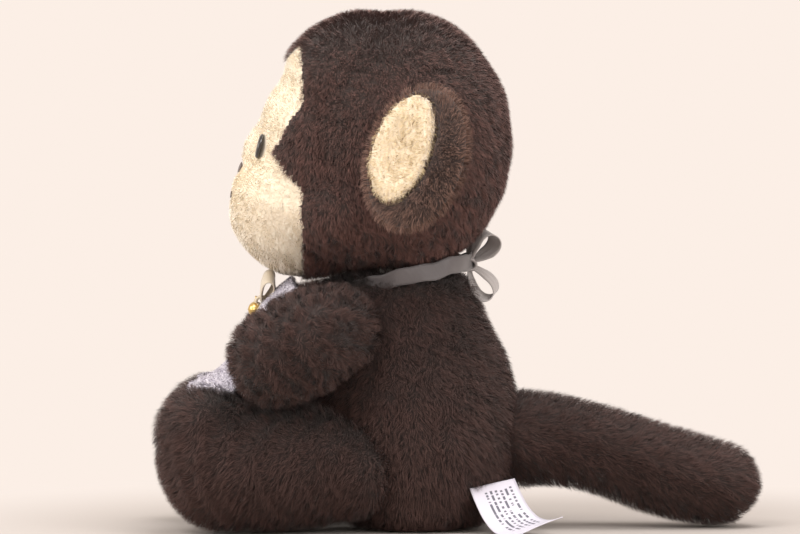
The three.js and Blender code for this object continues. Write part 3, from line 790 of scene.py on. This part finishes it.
def inside_outline(points, outline):
    """Whether points are within the outline seen from the front, and how far they are from it."""
    x, z = points[:, 0], points[:, 2]
    within = np.zeros(len(points), bool)
    near = np.full(len(points), 1.0)
    for (x1, z1), (x2, z2) in zip(outline, np.roll(outline, -1, axis=0)):
        if z1 != z2:
            crosses = ((z1 > z) != (z2 > z)) & (x < (x2 - x1) * (z - z1) / (z2 - z1) + x1)
            within ^= crosses
        near = np.minimum(near, np.hypot(x - x1, z - z1))
    within &= points[:, 1] < -FACE_BACK
    return within, near


def split_skin(skin, name, chosen):
    """Moves the chosen faces of a skin to a new object."""
    other = add_object(name, skin.data.copy())
    other.data.name = name
    for made, drop in ((skin, chosen), (other, ~chosen)):
        shape = bmesh.new()
        shape.from_mesh(made.data)
        shape.faces.ensure_lookup_table()
        bmesh.ops.delete(shape, geom=[shape.faces[i] for i in np.flatnonzero(drop)], context="FACES")
        shape.to_mesh(made.data)
        shape.free()
    return other


EYE_HALF_WIDTH = 4.5 * MM
EYE_HALF_HEIGHT = 6.1 * MM
EYE_TURN = 4
EYE_LEAN = 14
EYE_FORWARD = -0.8 * MM


def eye_places():
    found = []
    for side, word in SIDES:
        found.append((side, word, middle_of(f"{word}_eye")))
    return found


def clear_of_features(root):
    """Share of full length of the face pile, which is none under the eyes, nose and mouth."""
    share = np.ones(len(root))
    for side, word, centre in eye_places():
        turn = math.radians(EYE_TURN) * side
        across = (root[:, 0] - centre[0]) * math.cos(turn) + (root[:, 1] - centre[1]) * math.sin(turn)
        near = np.hypot(across / EYE_HALF_WIDTH, (root[:, 2] - centre[2]) / EYE_HALF_HEIGHT)
        front = root[:, 0] * side > 0
        share = np.where(front, np.minimum(share, np.clip((near - 0.85) * 2.2, 0, 1)), share)
    low, high = box("nose_stitching")
    middle, half = (low + high) / 2, (high - low) / 2
    near = np.hypot((root[:, 0] - middle[0]) / half[0], (root[:, 2] - middle[2]) / half[2])
    share = np.minimum(share, np.clip((near - 1.0) * 1.4 + 0.05, 0, 1))
    gap = mouth_gap(root)
    return np.minimum(share, np.clip(gap / (1.6 * MM) - 0.2, 0.0, 1))


def mouth_line(count=40):
    """The mouth seen from the front: one shallow curve that rises towards both ends."""
    low, high = box("mouth_stitching")
    x = np.linspace(low[0], high[0], count)
    share = np.abs(x) / high[0]
    z = high[2] - 1.5 * MM + (share ** 2) * 3.2 * MM
    return np.stack([x, z], axis=1)


def mouth_gap(root):
    near = np.full(len(root), 1.0)
    for x, z in mouth_line():
        near = np.minimum(near, np.hypot(root[:, 0] - x, root[:, 2] - z))
    front = root[:, 1] < -70 * MM
    return np.where(front, near, 1.0)


def make_head():
    centre = head_centre()
    meshes = [ellipsoid(centre + np.array(place) * MM, np.array(half) * MM) for place, half in HEAD_LOBES]
    hood = stuffed_part("hood_skin", meshes, "head", HOOD_BACKING, ["head_cover", "head_filling"],
                        smoothing=14, uneven=0.3 * MM)
    whole = hood.data.copy()
    outline = face_outline()
    middles = np.array([tuple(p.center) for p in hood.data.polygons])
    chosen, _ = inside_outline(middles, outline)
    face = split_skin(hood, "face_skin", chosen)
    face.data.materials.clear()
    dress(face, FACE_BACKING, "head", ["face_panel", "muzzle_panel"])

    full = add_object("full_head", whole)
    crown = centre + mm(0, -10, 45)

    def hood_lay(root, normal):
        return unit(root - crown) * (1, 0.6, 0.3) + np.array([0, 0.25, -0.75])

    def hood_keep(root, normal):
        within, near = inside_outline(root, outline)
        share = np.clip(near / (3.5 * MM) + 0.55, 0, 1)
        return np.where(within, 0, share)

    def face_keep(root, normal):
        within, near = inside_outline(root, outline)
        share = np.clip(near / (4 * MM) + 0.35, 0, 1)
        return np.where(within, share * clear_of_features(root), 0)

    nose_at = np.array([0, -92, centre[2] / MM - 14]) * MM
    for part, sign in (("left", 1), ("right", -1)):
        fur(f"hood_{part}_pile", full, 2.8, PILE["hood"], hood_lay, HOOD_HAIR, "head", "hood_plush",
            keep=lambda root, normal: hood_keep(root, normal) * (root[:, 0] * sign >= 0))
    fur("face_pile", full, 4.2, PILE["face"], towards(nose_at, away=True), FACE_HAIR, "head",
        "cream_plush", keep=face_keep, width=0.18, lean=0.85)
    bpy.data.objects.remove(full)
    make_eyes()
    make_embroidery(surface_of(face))


EYE_BULGE = 1.3 * MM
EYE_PROFILE = [  # depths in shares of the bulge, and sizes of the rings
    (-0.8, 0.9), (-0.5, 1.03), (-0.2, 1.05), (0, 1.0), (0.35, 0.97), (0.62, 0.87), (0.82, 0.7), (0.94, 0.48),
    (0.99, 0.25), (1, 0.08),
]


def make_eyes():
    around = 48
    for side, word, centre in eye_places():
        turn = (Matrix.Rotation(math.radians(EYE_TURN) * side, 3, "Z")
                @ Matrix.Rotation(math.radians(-EYE_LEAN), 3, "X"))
        points = []
        for depth, size in EYE_PROFILE:
            for a in full_turn(around):
                local = Vector((math.cos(a) * size * EYE_HALF_WIDTH, -depth * EYE_BULGE,
                                math.sin(a) * size * EYE_HALF_HEIGHT))
                points.append(Vector(centre) + turn @ local + Vector((0, EYE_FORWARD, 0)))
        mesh = mesh_of(points, ring_faces(len(EYE_PROFILE), around), f"{word}_eye_button", smooth=True)
        made = add_object(f"{word}_eye_button", mesh)
        dress(made, EYE_PLASTIC, "head", [f"{word}_eye"])


def on_face(surface, x, z, stand):
    """The point of the face at x and z, seen from the front."""
    hit = surface.ray_cast(Vector((x, -0.3, z)), Vector((0, 1, 0)))
    if hit[0] is None:
        return np.array([x, -90 * MM, z])
    return np.array(hit[0] + hit[1] * stand)


FACE_THREAD_RADIUS = 0.36 * MM


def make_embroidery(surface):
    low, high = box("nose_stitching")
    middle, half = (low + high) / 2, (high - low) / 2
    wide, tall = half[0] * 1.05, half[2] * 1.05
    lines = []
    for x in np.arange(-0.96, 0.97, 0.115):
        reach = tall * math.sqrt(1 - x * x) * (1.0 - 0.12 * abs(x))
        heights = np.linspace(-reach, reach, 9)
        swell = 0.6 * MM * (1 - (heights / max(reach, 1e-6)) ** 2) * (1 - x * x) + 0.4 * MM
        lines.append([on_face(surface, x * wide, middle[2] + h, s) for h, s in zip(heights, swell)])
    nose = threads("nose_embroidery", lines, FACE_THREAD_RADIUS)
    dress(nose, FACE_THREAD, "head", ["nose_stitching"])
    curve = mouth_line(30)
    stitches = []
    for row in (-0.25, 0.25):
        for start in range(0, 27, 3):
            part = curve[start:start + 5]
            stitches.append([on_face(surface, x, z + row * MM, 1.1 * MM) for x, z in part])
    mouth = threads("mouth_embroidery", stitches, FACE_THREAD_RADIUS)
    dress(mouth, FACE_THREAD, "head", ["mouth_stitching"])


def make_ears():
    for side, word in SIDES:
        body = f"{word}_ear"
        made = []
        for name, node, inset, backing, slot in (
                (f"{word}_ear_skin", f"{word}_ear_back", 0.8 * MM, HOOD_BACKING, "hood_plush"),
                (f"{word}_ear_lining_skin", f"{word}_ear_lining", 0.4 * MM, FACE_BACKING, "ear_plush")):
            skin = rounded(name, [bpy.data.objects[node].data], 1.4 * MM, 4, inset)
            dress(skin, backing, body, [node])
            made.append(skin)
        back, lining = made
        lay = towards(middle_of(f"{word}_ear_lining"), away=True)
        fur(f"{word}_ear_pile", back, 2.9, PILE["rim"], lay, RIM_HAIR_PAINTED_LIGHT, body, "hood_plush",
            lean=0.55)
        fur(f"{word}_ear_lining_pile", lining, 3.0, PILE["ear"], flow_along((0, 0.2, -1)), EAR_HAIR, body,
            "ear_plush", width=0.22)


# ---- ribbon, bows and bell

RIBBON_WIDTH = 10 * MM
NECK_GATHER = 0.86  # of the ribbon's width
RIBBON_CLOTH = 0.35 * MM


def ribbon_piece(name, rows, nodes, material):
    made = sheet_object(name, rows, RIBBON_CLOTH)
    dress(made, material, "torso", nodes)


def make_neck_ribbon():
    low, high = box("neck_ribbon")
    back_height = high[2] + 2.5 * MM
    side = high[0] + 1.5 * MM
    back = high[1] + 1.5 * MM
    front = -52 * MM
    middle, depth = (front + back) / 2, (back - front) / 2
    across = np.linspace(-0.5, 0.5, 7) * RIBBON_WIDTH * NECK_GATHER
    rows = []
    for a in np.linspace(math.radians(-46), math.radians(226), 170):
        y = middle + depth * math.sin(a)
        wave = 0.5 * MM * math.sin(a * 9) + 0.3 * MM * math.sin(a * 17 + 1)
        height = back_height + (y - back) * 0.22 + wave
        buried = np.clip((-12 * MM - y) / (20 * MM), 0, 1) * 6 * MM / side
        lean = 0.25 * math.sin(a * 5 + 2)
        row = []
        for s in across:
            out = 1 + (s * lean + wave * 0.4) / side - buried
            row.append((side * math.cos(a) * out, middle + depth * math.sin(a) * out, height + s))
        rows.append(row)
    ribbon_piece("neck_ribbon_band", rows, ["neck_ribbon"], NECK_SATIN_PAINTED_SHADE)


def bow_loop(start, way, swell, across, length, height, width):
    """Rows of a ribbon loop that leaves a knot, goes round its end and comes back to the knot."""
    way, swell, across = (unit_one(np.array(v, float)) for v in (way, swell, across))
    rows = []
    for t in np.linspace(0.06, 0.94, 56):
        turn = 2 * math.pi * t
        far = (1 - math.cos(turn)) / 2
        reach = length * far
        side = height / 2 * math.sin(turn) * (0.45 + 0.75 * far)
        gather = 0.42 + 0.58 * min(1.0, far * 2.2)
        middle = np.array(start) + way * reach + swell * side
        pleat = 0.5 * MM * (1 - far)
        rows.append([middle + across * (s * width * gather) + swell * pleat * math.cos(s * 18)
                     for s in np.linspace(-0.5, 0.5, 9)])
    return rows


def knot(name, centre, way, across, radius, width, material, nodes):
    """The short wrap round the middle of a bow, with a crease along it."""
    way, across = unit_one(np.array(way, float)), unit_one(np.array(across, float))
    out = np.cross(way, across)
    rows = []
    for a in full_turn(40):
        crease = [1, 1.06, 0.93, 1.05, 0.95, 1.06, 1]
        rows.append([np.array(centre) + across * s * width
                     + (way * math.cos(a) * 0.8 + out * math.sin(a)) * radius * c * (1 - 0.35 * (2 * s) ** 4)
                     for s, c in zip(np.linspace(-0.5, 0.5, 7), crease)])
    made = sheet_object(name, rows, 0.7 * MM, closed=True)
    dress(made, material, "torso")
    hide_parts(*nodes)


def make_nape_bow():
    centre = middle_of("nape_bow_knot") + mm(0, -3.5, 4.5)
    knot("nape_bow_wrap", centre, (0, 0.35, 1), (1, 0.5, -0.15), 4.2 * MM, 8 * MM, SATIN,
         ["nape_bow_knot"])
    upper = bow_loop(centre + mm(0.5, 1.5, 2), (0.1, 0.62, 0.78), (0.25, -0.78, 0.62),
                     (1, 0.75, -0.45), 17 * MM, 11 * MM, 11 * MM)
    lower = bow_loop(centre + mm(0.5, 1.5, -1.5), (0.1, 0.62, -0.82), (-0.2, 0.82, 0.6),
                     (1, -0.35, -0.4), 18.5 * MM, 11 * MM, 9 * MM)
    for word, rows in (("upper", upper), ("lower", lower)):
        ribbon_piece(f"nape_bow_{word}_ribbon", rows, [f"nape_bow_{word}_loop"], SATIN)


def make_front_bow():
    """A cream satin bow with a gold bell, sewn to the collar of the bib."""
    low, high = box("left_bib_bow_loop")
    centre = np.array([0, low[1] - 4.5 * MM, high[2] - 6.5 * MM])
    for side, word in SIDES:
        rows = bow_loop(centre + mm(side * 1, 0, 0.5), (0.55 * side, 0.32, 0.85),
                        (0.1 * side, -0.9, 0.35), (0.85, 0, -0.55 * side), 15 * MM, 6.5 * MM, 11 * MM)
        ribbon_piece(f"{word}_bow_ribbon", rows, [f"{word}_bib_bow_loop"], CREAM_SATIN)
        line = smooth_line([centre + mm(side * 1, -1, -1),
                            centre + mm(side * 3.5, -3.5, -6),
                            centre + mm(side * 6, -4.5, -12)], 24)
        tail = [[p + np.array([s, 0.18 * s * side, 0]) for s in
                 np.linspace(-4.5, 4.5, 7) * MM] for p in line]
        ribbon_piece(f"{word}_bow_tail", tail, [], CREAM_SATIN)
    knot("front_bow_wrap", centre + mm(0, -0.5, 0), (0, -0.1, 1), (1, 0, 0), 3.3 * MM, 4 * MM,
         CREAM_SATIN, [])
    make_bell(centre + mm(0, -3.2, -4))


BELL_RADIUS = 3.9 * MM
BELL_SEAM = 0.10  # share of the radius by which the seam of the two halves stands out
BELL_SLOT = 0.8  # share of the radius at the bottom of the slot


def make_bell(centre):
    """A round bell in two pressed halves, with a slot across its lower half and a ring on top."""
    around = 96
    points = []
    heights = np.cos(np.linspace(math.pi - 0.04, 0.04, 41))
    for height in heights:
        ring = math.sqrt(1 - height * height) + (BELL_SEAM if abs(height) < 0.07 else 0)
        for a in full_turn(around):
            place = np.array([math.cos(a) * ring, math.sin(a) * ring, height])
            in_slot = height < -0.25 and abs(place[0]) < 0.11
            points.append(centre + place * BELL_RADIUS * (BELL_SLOT if in_slot else 1))
    bell = add_object("bell", mesh_of(points, ring_faces(len(heights), around), "bell", smooth=True))
    dress(bell, GOLD, "torso", ["bib_bell"])
    circle = [centre + mm(1.3 * math.cos(a), 0, 5.2 + 1.3 * math.sin(a))
              for a in np.linspace(0, 2 * math.pi, 25)]
    dress(threads("bell_hoop", [circle], 0.35 * MM), GOLD, "torso")


# ---- bib

BIB_CLOTH = 1.3 * MM
LOOP_LENGTH = 1.5 * MM
LOOPS = {"width": 0.26, "lean": 0.5, "tuft": 0.9, "pull": 0.7}
BIB_HALF = 25 * MM
BIB_HEM_HALF = 45 * MM
COLLAR_ROUTE = [(-64, 124), (-70, 119), (-75, 114.5), (-79, 110)]
PANEL_ROUTE = [(-79.3, 109.6), (-84, 99), (-89, 89.5), (-95, 83), (-101, 77.5), (-106, 74)]


def cloth_rows(route, half_at, count, wide, sag):
    """Rows of a cloth that follows a route in the middle and hangs lower and further back at its sides."""
    rows = []
    for y, z in smooth_line(route, count) * MM:
        half = half_at(y)
        row = []
        for s in np.linspace(-1, 1, wide):
            crease = math.sin(s * 9 + y * 220) * 0.5 * MM
            back, down = abs(s) ** 2.2 * sag * 0.5, abs(s) ** 2.5 * sag
            row.append((s * half, y + back + crease * 0.4, z - down + crease))
        rows.append(row)
    return np.array(rows)


def laid_on(rows, surface, room):
    """Lifts the points of a cloth that would lie in what it rests on."""
    rows = np.array(rows)
    for i in range(rows.shape[0]):
        for j in range(rows.shape[1]):
            x, y, z = rows[i, j]
            hit = surface.ray_cast(Vector((x, y, 0.2)), Vector((0, 0, -1)))[0]
            if hit is not None and hit.z > 0.03 and hit.z + room > z:
                rows[i, j, 2] = hit.z + room
    return rows


def towel(name, rows, nodes):
    """A cloth of the bib, which rides on nothing yet."""
    made = sheet_object(name, rows, BIB_CLOTH)
    made.data.materials.append(TOWEL)
    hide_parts(*nodes)
    return made


def hem_threads(name, line, body):
    """The rolled hem along an edge of the bib."""
    dress(threads(name, [line], 1.0 * MM), TOWEL, body)


def make_bib(leg_surface):
    collar_rows = cloth_rows(COLLAR_ROUTE, lambda y: BIB_HALF, 24, 41, 3.5 * MM)
    collar = towel("bib_collar_cloth", collar_rows, ["bib_collar"])
    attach(collar, "torso")

    def half_at(y):
        share = np.clip((-y - 92 * MM) / (12 * MM), 0, 1)
        return BIB_HALF + (BIB_HEM_HALF - BIB_HALF) * share * share * (3 - 2 * share)

    rows = laid_on(cloth_rows(PANEL_ROUTE, half_at, 60, 61, 11 * MM), leg_surface, 3.0 * MM)
    for _ in range(6):
        rows[1:-1, :, 2] = (rows[:-2, :, 2] + 2 * rows[1:-1, :, 2] + rows[2:, :, 2]) / 4
        rows[:, 1:-1, 2] = (rows[:, :-2, 2] + 2 * rows[:, 1:-1, 2] + rows[:, 2:, 2]) / 4
    panel = towel("bib_cloth", rows, ["bib_panel"])
    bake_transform(panel)

    hem = smooth_line(rows[-1], 140)
    outward = unit(hem - (0, -95 * MM, 60 * MM))
    ruffle_rows = []
    for i, (point, out) in enumerate(zip(hem, outward)):
        wave = math.sin(i / 140 * 2 * math.pi * 11) + 0.4 * math.sin(i * 0.23)
        row = []
        for s in np.linspace(0, 1, 9):
            drop = np.array([0, -1, -0.6]) * 9 * MM * s
            row.append(point + drop + np.array([out[0] * 2, 0, 1]) * wave * 2.0 * MM * s)
        ruffle_rows.append(row)
    ruffle_rows = laid_on(ruffle_rows, leg_surface, 2.6 * MM)
    ruffle = towel("bib_ruffle_cloth", ruffle_rows, ["bib_ruffle"])
    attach(ruffle, "bib")
    edge = smooth_line(ruffle_rows[:, -1], 200)
    hem_threads("bib_hem", edge, "bib")
    hem_threads("bib_seam", smooth_line(rows[-1] + (0, 0, 0.8 * MM), 120), "bib")
    for side, column in (("left", -1), ("right", 0)):
        hem_threads(f"bib_{side}_hem", smooth_line(collar_rows[:, column], 40), "torso")
    lay = flow_along((0, -0.3, -1))
    for skin, name in ((collar, "bib_collar_pile"), (ruffle, "bib_ruffle_pile")):
        fur(name, skin, 3.2, LOOP_LENGTH, lay, TOWEL_HAIR, "torso" if skin is collar else "bib",
            "bib_cloth", **LOOPS)
    fur("bib_pile", panel, 2.6, LOOP_LENGTH, lay, TOWEL_HAIR, "bib", "bib_cloth", **LOOPS)


# ---- care label

LABEL_WIDTH = 27 * MM
LABEL_ROUTE = [(-1, 1), (4, -6), (10.5, -13.5), (18, -18.6), (26, -20.4), (34, -20.0), (40, -19.0)]


def make_label():
    hinge = joint_place("care_label_flip")
    axis = np.array(JOINTS["care_label_flip"]["axis"], float)
    way = np.cross(np.array([0, 0, 1.0]), axis)
    rows = []
    for reach, height in smooth_line(LABEL_ROUTE, 48) * MM:
        row = []
        for s in np.linspace(-0.5, 0.5, 15):
            curl = (2 * s) ** 2 * 0.5 * MM * math.sin(reach * 130)
            point = hinge + way * reach + axis * s * LABEL_WIDTH
            rear = s * (1 if axis[1] > 0 else -1)
            twist = (rear + 0.5) * (4 * MM + reach * 0.1)
            row.append((point[0], point[1], max(hinge[2] + height + curl + twist, 0.5 * MM)))
        rows.append(row)
    made = sheet_object("care_label_cloth", rows, 0.3 * MM)
    dress(made, LABEL_SATIN, "care_label", ["care_label"])


# ---- woven and printed materials

def math_node(material, operation, first, second):
    """A math node fed by sockets or numbers."""
    node = add_node(material, "Math")
    node.operation = operation
    for target, value in zip(node.inputs, (first, second)):
        if isinstance(value, (int, float)):
            target.default_value = value
        else:
            material.node_tree.links.new(value, target)
    return node.outputs["Value"]


def satin_material(name, dark, light):
    """Satin ribbon with fine ribs along it."""
    material, shader = new_material(name, light, 0.38, 0.35)
    place = add_node(material, "UVMap")
    ribs = add_node(material, "TexWave", Scale=0.55, Distortion=0.6, Detail=2)
    ribs.bands_direction = "Y"
    ramp = colour_ramp(material, dark, light)
    bump = add_node(material, "Bump", Strength=0.35, Distance=0.0002)
    link(material, place, "UV", ribs, "Vector")
    link(material, ribs, "Fac", ramp, "Fac")
    link(material, ramp, "Color", shader, "Base Color")
    link(material, ribs, "Fac", bump, "Height")
    link(material, bump, "Normal", shader, "Normal")
    return material


LABEL_WHITE = (0.60, 0.58, 0.66)
LABEL_INK = (0.10, 0.10, 0.13)
LINE_PITCH = 3.0  # millimetres from one row of dashes to the next
PRINT_ALONG = (4.0, 36.0)  # millimetres from the seam
PRINT_ACROSS = (3.0, 21.0)  # millimetres from the front edge


def label_material():
    """White satin label with rows of plain dashes, which stand for no words."""
    material, shader = new_material("label_satin", LABEL_WHITE, 0.45, 0.1)
    place = add_node(material, "UVMap")
    split = add_node(material, "SeparateXYZ")
    link(material, place, "UV", split, "Vector")
    along, across = split.outputs["X"], split.outputs["Y"]
    row = math_node(material, "DIVIDE", across, LINE_PITCH)
    within = math_node(material, "FRACT", row, 0)
    line = math_node(material, "COMPARE", within, 0.5)
    line.node.inputs[2].default_value = 0.24
    pattern = add_node(material, "TexNoise", Scale=1.0, Detail=0)
    spread = add_node(material, "CombineXYZ")
    floor = math_node(material, "FLOOR", row, 0)
    material.node_tree.links.new(math_node(material, "MULTIPLY", along, 0.85), spread.inputs["X"])
    material.node_tree.links.new(math_node(material, "MULTIPLY", floor, 7.3), spread.inputs["Y"])
    link(material, spread, "Vector", pattern, "Vector")
    dash = math_node(material, "GREATER_THAN", pattern.outputs["Fac"], 0.47)
    inked = math_node(material, "MULTIPLY", line, dash)
    for place_there, (start, end) in ((along, PRINT_ALONG), (across, PRINT_ACROSS)):
        for operation, limit in (("GREATER_THAN", start), ("LESS_THAN", end)):
            inside = math_node(material, operation, place_there, limit)
            inked = math_node(material, "MULTIPLY", inked, inside)
    mix = add_node(material, "Mix")
    mix.data_type = "RGBA"
    mix.inputs["A"].default_value = (*LABEL_WHITE, 1)
    mix.inputs["B"].default_value = (*LABEL_INK, 1)
    material.node_tree.links.new(inked, mix.inputs["Factor"])
    link(material, mix, "Result", shader, "Base Color")
    return material


def dress_inner_nodes():
    """Gives the carried-over CAD nodes, which lie inside the seams, their own materials."""
    stuffing = cloth_material("stuffing", (0.7, 0.68, 0.64), (0.88, 0.87, 0.84), 300)
    thread = cloth_material("seam_thread", (0.02, 0.014, 0.014), (0.045, 0.03, 0.03), 2500, 0.6)
    washer = cloth_material("washer_plastic", (0.74, 0.74, 0.71), (0.8, 0.8, 0.77), 60, 0.45, 0)
    for name, node in frame["nodes"].items():
        if "filling" in name:
            material = stuffing
        elif "stitching" in name:
            material = thread
        elif "washer" in name:
            material = washer
        else:
            continue
        node.data.materials.clear()
        node.data.materials.append(material)


# ---- materials

DARK_BACKING = cloth_material("dark_backing", (0.018, 0.011, 0.010), (0.035, 0.022, 0.019))
HOOD_BACKING = cloth_material("hood_backing", (0.026, 0.016, 0.014), (0.05, 0.031, 0.026))
FACE_BACKING = cloth_material("face_backing", (0.82, 0.72, 0.56), (0.93, 0.84, 0.70))
EYE_PLASTIC = cloth_material("eye_plastic", (0.010, 0.006, 0.004), (0.015, 0.009, 0.006), 150, 0.12, 0)
EYE_PLASTIC.node_tree.nodes["Principled BSDF"].inputs["Coat Weight"].default_value = 0.6
FACE_THREAD = cloth_material("face_thread", (0.045, 0.024, 0.019), (0.07, 0.04, 0.032), 2500, 0.45, 0.4)

SATIN = satin_material("grey_satin", (0.26, 0.235, 0.23), (0.44, 0.41, 0.40))
# the neck band is the grey satin darkened as painted shade, for the shade under the head and in the fur
NECK_SATIN_PAINTED_SHADE = satin_material("neck_satin", (0.075, 0.066, 0.068), (0.15, 0.134, 0.137))
CREAM_SATIN = satin_material("cream_satin", (0.50, 0.42, 0.31), (0.74, 0.66, 0.52))
GOLD = cloth_material("bell_gold", (0.56, 0.39, 0.14), (0.68, 0.48, 0.18), 400, 0.28, 0)
GOLD.node_tree.nodes["Principled BSDF"].inputs["Metallic"].default_value = 1.0
TOWEL = cloth_material("towelling", (0.48, 0.45, 0.52), (0.72, 0.69, 0.76), 1500)
TOWEL_HAIR = hair_shades(
    "towel_loop", [(0.60, 0.57, 0.65), (0.68, 0.65, 0.73), (0.76, 0.73, 0.79)], (1.1, 1.1, 1.08))
LABEL_SATIN = label_material()

make_camera()
make_lights()
make_ground()
make_torso()
limb_skins = make_limbs()
make_tail()
make_head()
make_ears()
make_neck_ribbon()
make_nape_bow()
make_bib(surface_of(*limb_skins))
make_front_bow()
make_label()
dress_inner_nodes()
